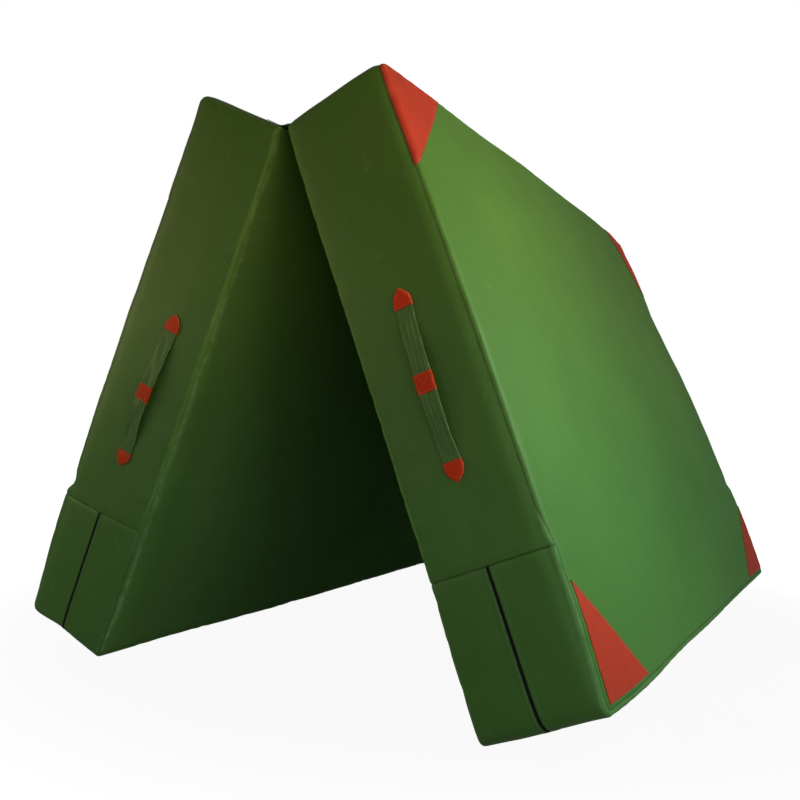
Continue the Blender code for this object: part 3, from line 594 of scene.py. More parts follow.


# painted_light_share is how much of the painted warm-top, cool-bottom light tint the finish gets.
def cloth_finish(name, colour, wear_and_highlight_colour, gloss=0.46, mottle=0.55, wear_and_highlight=0.5, scuffs=0.5, shine=0.28, painted_light_share=1.0):
    """Coated cloth in one colour, ready to cut."""
    made, tree, shader, _ = new_finish(name)
    look = tree.nodes.new("ShaderNodeGroup")
    look.node_tree = COATED_CLOTH
    feed(tree, look, {"Colour": (*colour, 1), "Wear and highlight colour": (*wear_and_highlight_colour, 1), "Mottle": mottle, "Wear and highlight": wear_and_highlight})
    feed(tree, look, {"Scuffs": scuffs, "Thread pitch": 0.0017, "Gloss": gloss, "Painted light share": painted_light_share})
    relief = dents(tree, look.outputs["Height"], 0.00028, 0.55)
    feed(tree, shader, {"Base Color": look.outputs["Colour"], "Roughness": look.outputs["Roughness"]})
    feed(tree, shader, {"Normal": relief, "Specular IOR Level": shine})
    return made


def give_thickness(piece, thickness=CLOTH, inwards=True):
    shell = piece.modifiers.new("cloth", "SOLIDIFY")
    shell.thickness = thickness
    shell.offset = -1 if inwards else 1
    shell.use_even_offset = True


def spread_out(points):
    """How far apart the rows and columns of a net of points lie, added up from its first corner."""
    along = np.linalg.norm(np.diff(points, axis=0), axis=-1).mean(axis=1)
    beside = np.linalg.norm(np.diff(points, axis=1), axis=-1).mean(axis=0)
    down, over = np.append(0, np.cumsum(along)), np.append(0, np.cumsum(beside))
    return np.stack(np.broadcast_arrays(over[None, :], down[:, None]), axis=-1)


def lay_cloth(name, panel, points, finish, cut=None, marks=None, thickness=CLOTH, inwards=True):
    """Makes a piece of cloth of a net of places on a panel."""
    centre = stand_up(panel, np.array([MIDDLE, 0.0, PANEL_LENGTH / 2]))
    cut = spread_out(points) if cut is None else cut
    piece = make_piece(name, stand_up(panel, points), net(*points.shape[:2]), finish, centre, cut, marks)
    give_thickness(piece, thickness, inwards)
    return piece


def sew_on(piece, panel, slot, *nodes):
    """Puts a finished piece on its panel, in the place of its pattern pieces."""
    if nodes:
        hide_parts(*[f"{panel}_{node}" for node in nodes])
    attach(piece, f"{panel}_panel")


def seam_shown(from_seam, down):
    """How far from a seam, for the finish: only the looser zip end shows dark seams."""
    return from_seam + 0.01 * smooth((ZIP_START - 0.01 - down) / 0.03)


GREEN, GREEN_RUBBED = (0.099, 0.243, 0.033), (0.208, 0.390, 0.108)
# The inner sheets' green and wear colour are painted lighter than the outer ones, as painted light on the
# shaded inner faces; the inner cloth is also duller.
INNER_GREEN_PAINTED_LIT, INNER_WEAR_AND_HIGHLIGHT_PAINTED_LIT = (0.165, 0.375, 0.064), (0.340, 0.560, 0.170)
# Where the light line on the left inner sheet runs in from the near edge, and its half width: partly wear,
# partly a painted highlight of the lit edge crest.
WORN_AND_LIT_LINE, WORN_AND_LIT_LINE_HALF = 0.014, 0.004
ALL_ROWS, ALL_COLUMNS = np.arange(LAST_DOWN + 1), np.arange(LAST_WIDE + 1)
green_cloth = cloth_finish("green_coated_cloth", GREEN, GREEN_RUBBED)
# Duller cloth in the lighter green, painted light for the inner sheets.
inner_cloth_painted_lit = cloth_finish(
    "dull_green_cloth_painted_lit", INNER_GREEN_PAINTED_LIT, INNER_WEAR_AND_HIGHLIGHT_PAINTED_LIT, gloss=0.72, wear_and_highlight=1.0, scuffs=0.3, shine=0.12
)
for panel in PANELS:
    for outer, node in ((True, "outer_sheet"), (False, "inner_sheet")):
        points, from_seam = face_cloth(panel, outer, ALL_ROWS, ALL_COLUMNS, 0.0)
        marks = {"seam": seam_shown(from_seam, points[..., 2]), "wear_and_highlight": 0.35 * np.exp(-from_seam / 0.012)}
        # On the left inner sheet the wear mask is a wavering light line in from the near edge: partly wear,
        # partly a painted highlight where the lit crest of the edge shows.
        if panel == "left" and not outer:
            to_near = HALF_WIDTH + points[..., 1]
            wander = 0.003 * waves(place(0, 0, points[..., 2]), 0.14, 5)
            marks["wear_and_highlight"] = hump((to_near - WORN_AND_LIT_LINE - wander) / WORN_AND_LIT_LINE_HALF)
            marks["seam"] = from_seam + 0.02
            marks["gather"] = np.exp(-to_near / 0.045)
        finish = green_cloth if outer else inner_cloth_painted_lit
        sheet = lay_cloth(f"{panel}_{node}_cloth", panel, points, finish, points[..., 1:], marks)
        sew_on(sheet, panel, "green_cover", node)

# Boxing band. The wall of each cover from cross seam to cross seam, up one side, over the top end
# and down the other, in the same green cloth. It wraps the foam's edges and is sewn to both faces.
WALL_STOPS = np.linspace(EDGE_RADIUS, PANEL_THICKNESS - EDGE_RADIUS, 20)[1:-1]
STITCH_PITCH = 0.0044
STITCH_LENGTH = 0.0034
STITCH_DIP = 0.0003
THREAD_RADIUS = 0.00038
THREAD_LIFT = 0.0001


def thread_finish(name, colour, light):
    """Bonded sewing thread: twisted, a little uneven in colour, satin."""
    made, tree, shader, where = new_finish(name)
    tone = two_tones(tree, noise(tree, where, 70), colour, light)
    twist = dents(tree, noise(tree, where, 1800), 0.0001)
    feed(tree, shader, {"Base Color": tone.outputs[0], "Normal": twist, "Roughness": 0.55})
    return made


def lengths_along(line):
    return np.append(0, np.cumsum(np.linalg.norm(np.diff(line, axis=0), axis=1)))


def read_off(at, lengths, values):
    """Values at distances along a line, between those at its points."""
    return np.stack([np.interp(at, lengths, part) for part in values.T], axis=-1)


def evenly(line, step):
    """Points at even steps along a line, the way it runs there, and how far along each is."""
    lengths = lengths_along(line)
    at = np.arange(step / 2, lengths[-1], step)
    way = read_off(at + 0.0005, lengths, line) - read_off(at - 0.0005, lengths, line)
    return read_off(at, lengths, line), way / np.linalg.norm(way, axis=1, keepdims=True), at


def sew_rows(name, panel, slot, thread, rows):
    """Rows of stitches as one piece. A row is (the piece it goes through, its line, the thread's height)."""
    verts = []
    for piece, line, lift in rows:
        cloth = piece.data
        polygons = [list(face.vertices) for face in cloth.polygons]
        surface = BVHTree.FromPolygons([vert.co for vert in cloth.vertices], polygons)
        for spot, run in zip(*evenly(line, STITCH_PITCH)[:2]):
            on, up, _, _ = surface.find_nearest(spot)
            run = Vector(run)
            run = (run - up * run.dot(up)).normalized()
            beside, middle = up.cross(run), on + up * lift
            for share, thick in ((-0.5, False), (-0.3, True), (0.3, True), (0.5, False)):
                at = middle + run * share * STITCH_LENGTH - up * (0 if thick else STITCH_DIP)
                verts += [at + THREAD_RADIUS * way for way in (up, beside, -up, -beside)] if thick else [at]
    ring = np.arange(4)
    after = (ring + 1) % 4
    sides = ((0 * ring, 1 + after, 1 + ring), (1 + ring, 1 + after, 5 + after))
    sides += ((1 + ring, 5 + after, 5 + ring), (0 * ring + 9, 5 + ring, 5 + after))
    one = np.concatenate([np.stack(side, axis=-1) for side in sides])
    cells = (np.arange(len(verts) // 10)[:, None, None] * 10 + one[None]).reshape(-1, 3)
    sew_on(make_piece(name, np.array([tuple(vert) for vert in verts]), cells, thread), panel, slot)


def wall_marks(panel, stations, section, from_seam):
    """Masks for a wall's finish: how far from a seam that shows, how worn, and how gathered it is."""
    down, wide, run = stations[:, None, 0], stations[:, None, 1], section[..., 4]
    inner = section[..., 1] < MIDDLE
    shown = seam_shown(from_seam, down)
    worn, gather = np.where(inner, 2.8, 1.0), 0 * shown
    if panel == "left":
        by_zip = np.abs(down - ZIP_START) < 0.012
        shown = np.where(inner | by_zip, from_seam + 0.004 * by_zip + 0.01 * (run < 0.02), shown)
        worn, gather = 1.0, 0.6 * inner * (wide < 0) * np.exp(-run / 0.015)
    corner = np.clip(4 * section[..., 3] * np.abs(section[..., 2]), 0, 1)
    return {"seam": shown, "wear_and_highlight": 0.8 * corner * worn + 0.25 * np.exp(-from_seam / 0.01), "gather": gather}


green_thread = thread_finish("green_thread", (0.075, 0.170, 0.036), (0.150, 0.270, 0.085))
for panel in PANELS:
    stations = STATIONS[np.r_[FAR_SEAM : len(STATIONS), 0]].copy()
    stations[[0, -1], 0] -= SEAM_GAP
    half = half_section(stations, WALL_STOPS[: len(WALL_STOPS) // 2])
    section = np.concatenate([half, mirrored(half)], axis=1)
    on_side = np.abs(stations[:, 3]) > STRAIGHT
    from_row = np.where(on_side, np.abs(ZIP_START - CROSS_ROW - stations[:, 0]), 1.0)[:, None]
    points, from_seam = wall_cloth(panel, stations, section, -0.0004 * hump(from_row / 0.0010))
    marks = wall_marks(panel, stations, section, from_seam)
    band = lay_cloth(f"{panel}_boxing_band_cloth", panel, points, green_cloth, marks=marks)
    sew_on(band, panel, "green_cover", "boxing_band")
    rows = []
    for way in (-1, 1):
        line = place(np.linspace(0.004, PANEL_THICKNESS - 0.004, 60), way * HALF_WIDTH, ZIP_START - CROSS_ROW)
        rows.append((band, stand_up(panel, line), THREAD_LIFT))
    sew_rows(f"{panel}_cross_seam_thread", panel, "green_cover", green_thread, rows)

# Zip strips. The wall round the free end is two strips with the zip between them. Each is hemmed
# along the zip, with one row of stitches, and cut wider so that the end closes easily over the foam.
# The slot is as wide as the slider down the far side, and closer where the zip lies shut.
ZIP_SLOT = 0.0076
ZIP_SLOT_CLOSED = 0.0052
ZIP_STATIONS = STATIONS[: FAR_SEAM + 1].copy()
ZIP_STATIONS[[0, -1], 0] += SEAM_GAP
PAST_CORNER = smooth((HALF_WIDTH - 0.03 - ZIP_STATIONS[:, 1]) / 0.08)
HALF_SLOT = ((ZIP_SLOT + (ZIP_SLOT_CLOSED - ZIP_SLOT) * PAST_CORNER) / 2)[:, None]
STRIP_STOPS = [0.0120, 0.0205, 0.0290, 0.0375, 0.0460, 0.0545, 0.0620, 0.0690, 0.0750, 0.0800, 0.0840]
HEM_STOPS = [0.0060, 0.0050, 0.0042, 0.0036, 0.0030, 0.0024, 0.0016, 0.0007, 0.0002, 0]
HEM_ROW = 0.0030


def hem_shape(from_slot):
    """The hem's doubled edge, its row of stitches pulled in and its rounded lip."""
    doubled = 0.0004 * (1 - smooth((from_slot - 0.0048) / 0.0012))
    return doubled - 0.0004 * hump((from_slot - HEM_ROW) / 0.0007) - 0.0008 * hump(from_slot / 0.0005)


hem_thread = thread_finish("hem_thread", (0.120, 0.240, 0.070), (0.230, 0.370, 0.140))
wide_part = np.broadcast_to(STRIP_STOPS, (len(ZIP_STATIONS), len(STRIP_STOPS)))
hem_part = MIDDLE - HALF_SLOT - np.array(HEM_STOPS)
half = half_section(ZIP_STATIONS, np.concatenate([wide_part, hem_part], axis=1))
hem_row = len(TURN_STEPS) + len(STRIP_STOPS) + HEM_STOPS.index(HEM_ROW)
for panel in PANELS:
    rows = []
    for node, section in (("zip_strip_inner", half), ("zip_strip_outer", mirrored(half))):
        from_slot = np.abs(section[..., 1] - MIDDLE) - HALF_SLOT
        hem = np.where(section[..., 3] == 1, hem_shape(from_slot), 0)
        points, from_seam = wall_cloth(panel, ZIP_STATIONS, section, hem)
        marks = wall_marks(panel, ZIP_STATIONS, section, from_seam)
        strip = lay_cloth(f"{panel}_{node}_cloth", panel, points, green_cloth, marks=marks)
        sew_on(strip, panel, "green_cover", node)
        line = points[:, hem_row if section is half else -1 - hem_row]
        rows.append((strip, stand_up(panel, line), THREAD_LIFT))
    sew_rows(f"{panel}_zip_hem_thread", panel, "green_cover", hem_thread, rows)

# Zip. Two woven tapes behind the strips' edges, each with a row of nylon coil in black, and a dark fly of
# thin cloth behind them that keeps the foam off the zip. The fly's near black is painted shade: it keeps the
# slot dark where the pale foam would show.
CLEARANCE = 0.0003
TAPE_DEPTH = CLOTH + CLEARANCE
TAPE_THICKNESS = 0.0006
TAPE_STOPS = np.array([0.016, 0.012, 0.008, 0.004, 0.0018, 0.00045])
COIL_PITCH = 0.0015
COIL_STEPS = 6
COIL_WIRE = 0.00026
COIL_OVER = np.array([0.00055, 0.0025])
COIL_TOP, COIL_UNDER = -0.00035, TAPE_DEPTH - 0.00025
FLY_DEPTH = 0.0036
FLY_THICKNESS = 0.0003
FLY_STOPS = np.array([-0.014, -0.007, 0.0, 0.007, 0.014])
WEAVE_PITCH = 0.0012


def woven_finish(name, colour, light, gloss):
    """Woven nylon: threads over and under each other."""
    made, tree, shader, where = new_finish(name)
    along, between = where.node.outputs["UV"], [part * 0.4 for part in colour]
    weave = add(tree, "TexBrick", {"Vector": along, "Scale": 1 / WEAVE_PITCH, "Mortar Size": 0.12})
    feed(tree, weave, {"Color1": (*colour, 1), "Color2": (*light, 1), "Mortar": (*between, 1)})
    height = reckon(tree, "ADD", weave.outputs["Fac"], noise(tree, where, 900))
    feed(tree, shader, {"Base Color": weave.outputs["Color"], "Normal": dents(tree, height, 0.0002)})
    feed(tree, shader, {"Roughness": gloss})
    return made


def coil_finish():
    """Nylon coil: near black, a little glossy, dusty in places."""
    made, tree, shader, where = new_finish("zip_coil_nylon")
    dust = noise(tree, where, 60)
    tone = two_tones(tree, dust, (0.003, 0.013, 0.004), (0.012, 0.032, 0.013))
    tone.color_ramp.elements[0].position, tone.color_ramp.elements[1].position = 0.45, 0.75
    wear = add(tree, "MapRange", {"Value": dust, "To Min": 0.32, "To Max": 0.62})
    feed(tree, shader, {"Base Color": tone.outputs[0], "Roughness": wear.outputs["Result"]})
    return made


def tube(rings, around, whole=False):
    """The four-cornered cells of a tube of rings of points, or of a whole ring-shaped tube."""
    ring, step = np.arange(rings if whole else rings - 1)[:, None] * around, np.arange(around)[None, :]
    beside, count = (step + 1) % around, rings * around
    corners = ring + step, ring + beside, (ring + around + beside) % count, (ring + around + step) % count
    return np.stack(corners, axis=-1).reshape(-1, 4)


def close_ends(work):
    bmesh.ops.holes_fill(work, edges=[edge for edge in work.edges if edge.is_boundary])


def along_zip(panel, depth, across):
    """Points along the zip at each place across the wall, a depth under the cover."""
    run = np.full((len(ZIP_STATIONS), 1), EDGE_RADIUS * math.pi / 2)
    return wall_cloth(panel, ZIP_STATIONS, wall_rows(ZIP_STATIONS, across, depth, run))[0]


zip_tape = woven_finish("zip_tape_weave", (0.004, 0.016, 0.005), (0.009, 0.028, 0.010), 0.85)
fly_cloth_painted_shade = woven_finish("zip_fly_shade_weave", (0.004, 0.014, 0.005), (0.008, 0.024, 0.009), 0.90)
coil_nylon = coil_finish()
for panel in PANELS:
    for half, way in (("inner", -1), ("outer", 1)):
        points = along_zip(panel, TAPE_DEPTH, MIDDLE + way * TAPE_STOPS)
        tape = lay_cloth(f"{panel}_zip_tape_{half}_weave", panel, points, zip_tape, thickness=TAPE_THICKNESS)
        sew_on(tape, panel, "zip_tape", f"zip_tape_{half}")

        rails = along_zip(panel, (COIL_TOP + COIL_UNDER) / 2, MIDDLE + way * COIL_OVER)
        over_line = stand_up(panel, along_zip(panel, COIL_TOP, [MIDDLE + way * COIL_OVER.sum() / 2])[:, 0])
        middle_line, side_line = stand_up(panel, rails.mean(axis=1)), stand_up(panel, rails[:, 1])
        spots, run, at = evenly(middle_line, COIL_PITCH / COIL_STEPS)
        lengths = lengths_along(middle_line)
        up, beside = (read_off(at, lengths, line - middle_line) for line in (over_line, side_line))
        turn = 2 * math.pi * np.arange(len(at)) / COIL_STEPS + (math.pi if way > 0 else 0)
        shrink = 1 - COIL_WIRE / (COIL_UNDER - COIL_TOP) * 2
        centre = spots + up * (np.sin(turn) * shrink)[:, None] + beside * (np.cos(turn) * shrink)[:, None]
        out = centre - spots
        out /= np.linalg.norm(out, axis=1, keepdims=True)
        ways = [out * math.cos(angle) + run * math.sin(angle) for angle in (0, 2.1, 4.2)]
        rings = [centre + COIL_WIRE * way_out for way_out in ways]
        cells = tube(len(at), len(rings))
        coil = make_piece(f"{panel}_zip_coil_{half}_turns", np.stack(rings, axis=1), cells, coil_nylon)
        rework(coil, close_ends, face_outwards)
        sew_on(coil, panel, "zip_coil", f"zip_coil_{half}")
    points = along_zip(panel, FLY_DEPTH, MIDDLE + FLY_STOPS)
    # Near-black fly behind the zip, painted shade in the slot.
    fly = lay_cloth(f"{panel}_zip_fly", panel, points, fly_cloth_painted_shade, thickness=FLY_THICKNESS)
    sew_on(fly, panel, "zip_tape")

# Slider and pull of each zip, die-cast and plated, dulled by use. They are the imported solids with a
# metal finish, and ride on their own bodies.


def worn_metal():
    """Plated zinc: grey, uneven in tone, finely scratched."""
    made, tree, shader, where = new_finish("worn_zinc")
    scratches = noise(tree, where, 420, 4)
    tone = two_tones(tree, noise(tree, where, 120), (0.16, 0.16, 0.15), (0.42, 0.41, 0.38))
    rough = add(tree, "MapRange", {"Value": scratches, "To Min": 0.28, "To Max": 0.55})
    feed(tree, shader, {"Base Color": tone.outputs[0], "Roughness": rough.outputs["Result"]})
    feed(tree, shader, {"Normal": dents(tree, scratches, 0.00008), "Metallic": 1.0})
    return made


zinc = worn_metal()
for panel in PANELS:
    for node in ("zip_slider", "zip_pull"):
        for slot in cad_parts[f"{panel}_{node}"].material_slots:
            slot.material = zinc

# Corner patches. Triangles of red coated cloth over the outer face's four corners, caught in the
# seams along two edges and topstitched along the third. Pairs of sizes are for the top and bottom end.
PATCH_ALONG = (0.198, 0.223)
PATCH_DOWN = (0.187, 0.200)
PATCH_SPARE = 0.03
PATCH_ROW = 0.005
PATCH_GAP = {"left": (0.0085, SEAM_GAP), "right": (SEAM_GAP, 0.0065)}
RED, RED_RUBBED = (0.690, 0.048, 0.018), (0.800, 0.200, 0.080)
# The red cloth gets half of the painted warm-top, cool-bottom light tint.
red_cloth = cloth_finish(
    "red_coated_cloth", RED, RED_RUBBED, gloss=0.5, mottle=0.9, wear_and_highlight=0.6, scuffs=0.6, shine=0.22, painted_light_share=0.5
)
red_thread = thread_finish("red_thread", (0.420, 0.060, 0.030), (0.720, 0.200, 0.090))


def trim(work, edge, past):
    """Cuts off what lies past the plane through one point that faces the other."""
    whole = work.verts[:] + work.edges[:] + work.faces[:]
    way = Vector(past - edge)
    bmesh.ops.bisect_plane(work, geom=whole, dist=1e-7, plane_co=Vector(edge), plane_no=way, clear_outer=True)


for panel in PANELS:
    diagonals = []
    for side, way in (("near", -1), ("far", 1)):
        for end, towards in (("top", 1), ("bottom", -1)):
            name, at = f"corner_patch_{side}_{end}", int(end == "bottom")
            along, down = PATCH_ALONG[at], PATCH_DOWN[at]
            from_end = DOWN_LINES[0] if end == "top" else PANEL_LENGTH - DOWN_LINES[0]
            from_side = HALF_WIDTH - np.abs(WIDE_LINES[0])
            rows = ALL_ROWS[from_end < down + PATCH_SPARE]
            columns = ALL_COLUMNS[(from_side < along + PATCH_SPARE) & (np.sign(WIDE_LINES[0]) == way)]
            points, from_seam = face_cloth(panel, True, rows, columns, -CLEARANCE, PATCH_GAP[panel][at])
            marks = {"seam": from_seam, "wear_and_highlight": 0.5 * np.exp(-from_seam / 0.006)}
            cut = points[..., 1:]
            patch = lay_cloth(f"{panel}_{name}_cloth", panel, points, red_cloth, cut, marks, inwards=False)
            on_edge = np.array([0, way * (HALF_WIDTH - along), at * PANEL_LENGTH])
            away = np.array([0, -way * down, towards * along])
            edge, past = stand_up(panel, np.stack([on_edge, on_edge + away]))
            rework(patch, partial(trim, edge=edge, past=past))
            sew_on(patch, panel, "red_trim", name)
            on_side_edge = on_edge + np.array([0, way * along, towards * down])
            share = np.linspace(0.04, 0.94, 40)[:, None]
            line = on_edge * (1 - share) + on_side_edge * share - away / math.hypot(along, down) * PATCH_ROW
            line = stand_up(panel, line + np.array([PANEL_THICKNESS + FACE_CROWN, 0, 0]))
            diagonals.append((patch, line, CLOTH + THREAD_LIFT))
    sew_rows(f"{panel}_corner_patch_thread", panel, "red_trim", red_thread, diagonals)

# Handles. On each side a strap of folded green cloth with rows of stitches, its ends sewn down under
# arched red patches, and a red sleeve round its middle as the grip.
HANDLE_LENGTH = 0.296
HANDLE_TOP = {"left": ZIP_START - 0.110 - HANDLE_LENGTH, "right": ZIP_START - 0.123 - HANDLE_LENGTH}
HANDLE_ASIDE = {"left": (-0.024, -0.010), "right": (0.006, 0.0)}
STRAP_WIDTH = 0.029
STRAP_THICKNESS = 0.0020
STRAP_BOW = 0.0085
STRAP_RISE = 0.095
STRAP_TIP = 0.0015
STRAP_ROWS = (-0.0110, -0.0042, 0.0042, 0.0110)
HANDLE_FROM_SEAM = 0.09
HANDLE_PATCH = 0.030
HANDLE_PATCH_ROW = HANDLE_PATCH - 0.003
HANDLE_PATCH_WIDTH = STRAP_WIDTH + 0.002
HANDLE_PATCH_OUT = np.array([0.3, 0.6, 0.8, 0.9, 0.95, 0.985, 1])
HANDLE_PATCH_OVER = np.concatenate([-HANDLE_PATCH_OUT[::-1], [0], HANDLE_PATCH_OUT])
ARCH = 0.021
GRIP_LENGTH = 0.030
GRIP_START, GRIP_END = (HANDLE_LENGTH - GRIP_LENGTH) / 2, (HANDLE_LENGTH + GRIP_LENGTH) / 2
GRIP_WALL = 0.0007
GRIP_AROUND = 40
GRIP_UP = STRAP_BOW + CLEARANCE + STRAP_THICKNESS / 2
NO_SEAM = 0.05


def on_wall(panel, way, across, height, along):
    """A place off a side, across from the handle's middle line, at a distance from its upper tip."""
    down = HANDLE_TOP[panel] + along
    upper, lower = HANDLE_ASIDE[panel]
    level = MIDDLE + upper + (lower - upper) * along / HANDLE_LENGTH
    flat = place(level + across, way * HALF_WIDTH, down)
    give = slack(panel, flat, flat, np.full(flat.shape[:-1], HANDLE_FROM_SEAM))
    return place(level + across, way * (HALF_WIDTH + WALL_BULGE + give + height), down)


def from_tip(along, length=HANDLE_LENGTH):
    return np.minimum(along, length - along)


def arch_steps(count):
    return ARCH * (1 - np.cos(np.linspace(0, math.pi / 2, count)))


def arch_half(from_tip, half_width):
    share = np.clip(from_tip / ARCH, 0, 1)
    return half_width * np.maximum(np.sin(share * math.pi / 2) ** 0.80, 0.10)


def strap_height(along):
    return CLEARANCE + STRAP_BOW * smooth((from_tip(along) - HANDLE_PATCH) / STRAP_RISE)


def flat_cut(across, along):
    return np.stack(np.broadcast_arrays(across, along), axis=-1)


def rounded(part, power, reach):
    return np.sign(part) * np.abs(part) ** power * reach


GRIP_RED, GRIP_RUBBED = (0.940, 0.060, 0.008), (0.960, 0.240, 0.070)
bright_red_cloth = cloth_finish(
    "bright_red_coated_cloth", GRIP_RED, GRIP_RUBBED, gloss=0.5, mottle=0.8, wear_and_highlight=0.6, scuffs=0.2, shine=0.16
)
strap_cloth = cloth_finish(
    "strap_coated_cloth", (0.105, 0.236, 0.042), (0.225, 0.370, 0.150), gloss=0.42, wear_and_highlight=1.0, scuffs=0.3
)
pale_green_thread = thread_finish("pale_green_thread", (0.190, 0.320, 0.095), (0.340, 0.480, 0.210))
orange_thread = thread_finish("orange_thread", (0.600, 0.070, 0.020), (0.850, 0.220, 0.080))
arch = STRAP_TIP + arch_steps(9)
strap_along = np.concatenate([arch, np.linspace(arch[-1], HANDLE_LENGTH / 2, 46)[1:]])
strap_along = np.concatenate([strap_along, HANDLE_LENGTH - strap_along[-2::-1]])[:, None]
over = np.linspace(-1, 1, 33)
ease = np.sqrt(np.clip(1 - (np.clip(np.abs(over) - 0.93, 0, 1) / 0.07) ** 2, 0, 1))
strap_upper = np.stack([over, STRAP_THICKNESS * (0.5 + 0.5 * ease)])
strap_under = np.stack([over[-2:0:-1], STRAP_THICKNESS * (0.5 - 0.5 * ease[-2:0:-1])])
strap_over, strap_up = np.concatenate([strap_upper, strap_under], axis=1)
strap_on_top = np.arange(len(strap_over)) < len(over)
grip_ends = np.array([0, 0.0003, 0.001])
grip_middle = np.linspace(0.002, GRIP_LENGTH - 0.002, 12)
grip_steps = np.concatenate([grip_ends, grip_middle, GRIP_LENGTH - grip_ends[::-1]])[:, None]
grip_along = GRIP_START + grip_steps
for panel in PANELS:
    green_rows, red_rows = [], []
    for where, way in (("near", -1), ("far", 1)):
        seed = 90 + 7 * way + (3 if panel == "left" else 0)
        along = strap_along
        across = strap_over * arch_half(from_tip(along) - STRAP_TIP, STRAP_WIDTH / 2)
        grooves = sum(hump((across - row) / 0.0008) for row in STRAP_ROWS)
        height = strap_height(along) + strap_up
        height = height - np.where(strap_on_top, 0.00035 * grooves, 0)
        free = smooth((from_tip(along) - HANDLE_PATCH) / 0.03)
        height = height + free * 0.0008 * waves(place(0, along, across * 3), 0.05, seed)
        across = across + free * 0.0012 * waves(place(0, along, 0), 0.12, seed + 1)
        points = stand_up(panel, on_wall(panel, way, across, height, along))
        wear_and_highlight = np.clip(np.clip(np.abs(strap_over) - 0.85, 0, 1) * 5 + 0 * across, 0, 1)
        marks = {"seam": np.full(across.shape, NO_SEAM), "wear_and_highlight": wear_and_highlight}
        name = f"{panel}_{where}_handle_strap_cloth"
        cut, cells = flat_cut(across, along), tube(*across.shape)
        strap = make_piece(name, points, cells, strap_cloth, None, cut, marks)
        rework(strap, close_ends, face_outwards)
        strap.data.set_sharp_from_angle(angle=math.radians(50))
        sew_on(strap, panel, "webbing", f"{where}_handle_strap")
        for row in STRAP_ROWS:
            for stretch in ((HANDLE_PATCH, GRIP_START), (GRIP_END, HANDLE_LENGTH - HANDLE_PATCH)):
                steps = np.linspace(*stretch, 40)
                line = on_wall(panel, way, row, strap_height(steps) + STRAP_THICKNESS, steps)
                green_rows.append((strap, stand_up(panel, line), 0.0))

        for end in ("upper", "lower"):
            steps = np.concatenate([arch_steps(10), np.linspace(ARCH, HANDLE_PATCH, 9)[1:]])[:, None]
            half_width = arch_half(steps, HANDLE_PATCH_WIDTH / 2)
            across = HANDLE_PATCH_OVER * half_width
            inside = np.minimum(half_width - np.abs(across), steps)
            lift = 0.0004 + (STRAP_THICKNESS + CLEARANCE) * smooth(inside / 0.0022 + 0.25)
            height = CLEARANCE + lift - 0.0004 * hump((inside - 0.0030) / 0.0008)
            along = steps if end == "upper" else HANDLE_LENGTH - steps
            points = on_wall(panel, way, across, height, along)
            cut = flat_cut(across, along)
            marks = {"seam": np.full(across.shape, NO_SEAM), "wear_and_highlight": np.exp(-inside / 0.0012)}
            name = f"{panel}_{where}_handle_{end}_patch_cloth"
            patch = lay_cloth(name, panel, points, bright_red_cloth, cut, marks, inwards=False)
            sew_on(patch, panel, "red_trim", f"{where}_handle_{end}_patch")
            steps = np.linspace(0.0035, HANDLE_PATCH_ROW, 20)
            edge = arch_half(steps - 0.0025, HANDLE_PATCH_WIDTH / 2) - 0.0028
            round_tip = np.concatenate([-edge, edge[::-1]]), np.concatenate([steps, steps[::-1]])
            square_end = np.linspace(-edge[-1], edge[-1], 12), np.full(12, HANDLE_PATCH_ROW)
            for over_row, steps in (round_tip, square_end):
                along = steps if end == "upper" else HANDLE_LENGTH - steps
                line = on_wall(panel, way, over_row, 0.004, along)
                red_rows.append((patch, stand_up(panel, line), CLOTH + THREAD_LIFT))

        turn = np.linspace(0, 2 * math.pi, GRIP_AROUND + 1)[:-1]
        half_over, half_up = (size / 2 + CLEARANCE + GRIP_WALL for size in (STRAP_WIDTH, STRAP_THICKNESS))
        ring_over, ring_up = rounded(np.cos(turn), 0.22, half_over), rounded(np.sin(turn), 0.6, half_up)
        from_grip_end = from_tip(grip_steps, GRIP_LENGTH)
        walls = []
        for shrink, swollen in ((0.0, 1 - 0.12 * np.exp(-from_grip_end / 0.0006)), (GRIP_WALL, 1)):
            across = ring_over * (1 - shrink / half_over) + 0 * grip_steps
            up = GRIP_UP + ring_up * (1 - shrink / half_up) * swollen
            walls.append(on_wall(panel, way, across, up, grip_along))
        points = np.concatenate([walls[0], walls[1][::-1]])
        cut = flat_cut(ring_over, np.linspace(0, 0.066, len(points))[:, None])
        wear_and_highlight = np.exp(-from_grip_end / 0.0015)
        wear_and_highlight = np.concatenate([wear_and_highlight, wear_and_highlight[::-1]]) + 0 * cut[..., 0]
        marks = {"seam": np.full(wear_and_highlight.shape, NO_SEAM), "wear_and_highlight": wear_and_highlight}
        name, cells = f"{panel}_{where}_handle_grip_cloth", tube(len(points), GRIP_AROUND, whole=True)
        grip = make_piece(name, stand_up(panel, points), cells, bright_red_cloth, None, cut, marks)
        rework(grip, face_outwards)
        sew_on(grip, panel, "red_trim", f"{where}_handle_grip")
        low, high, edge = grip_along[0, 0] + 0.0025, grip_along[-1, 0] - 0.0025, STRAP_WIDTH / 2 - 0.002
        corners = (-edge, low), (edge, low), (-edge, high), (edge, high)
        for first, last in ((0, 1), (2, 3), (0, 2), (1, 3), (0, 3), (2, 1)):
            over_row, steps = (np.linspace(*ends, 12) for ends in zip(corners[first], corners[last]))
            line = on_wall(panel, way, over_row, GRIP_UP + half_up + 0.001, steps)
            red_rows.append((grip, stand_up(panel, line), 0.0))
    sew_rows(f"{panel}_strap_thread", panel, "webbing", pale_green_thread, green_rows)
    sew_rows(f"{panel}_handle_patch_thread", panel, "red_trim", orange_thread, red_rows)

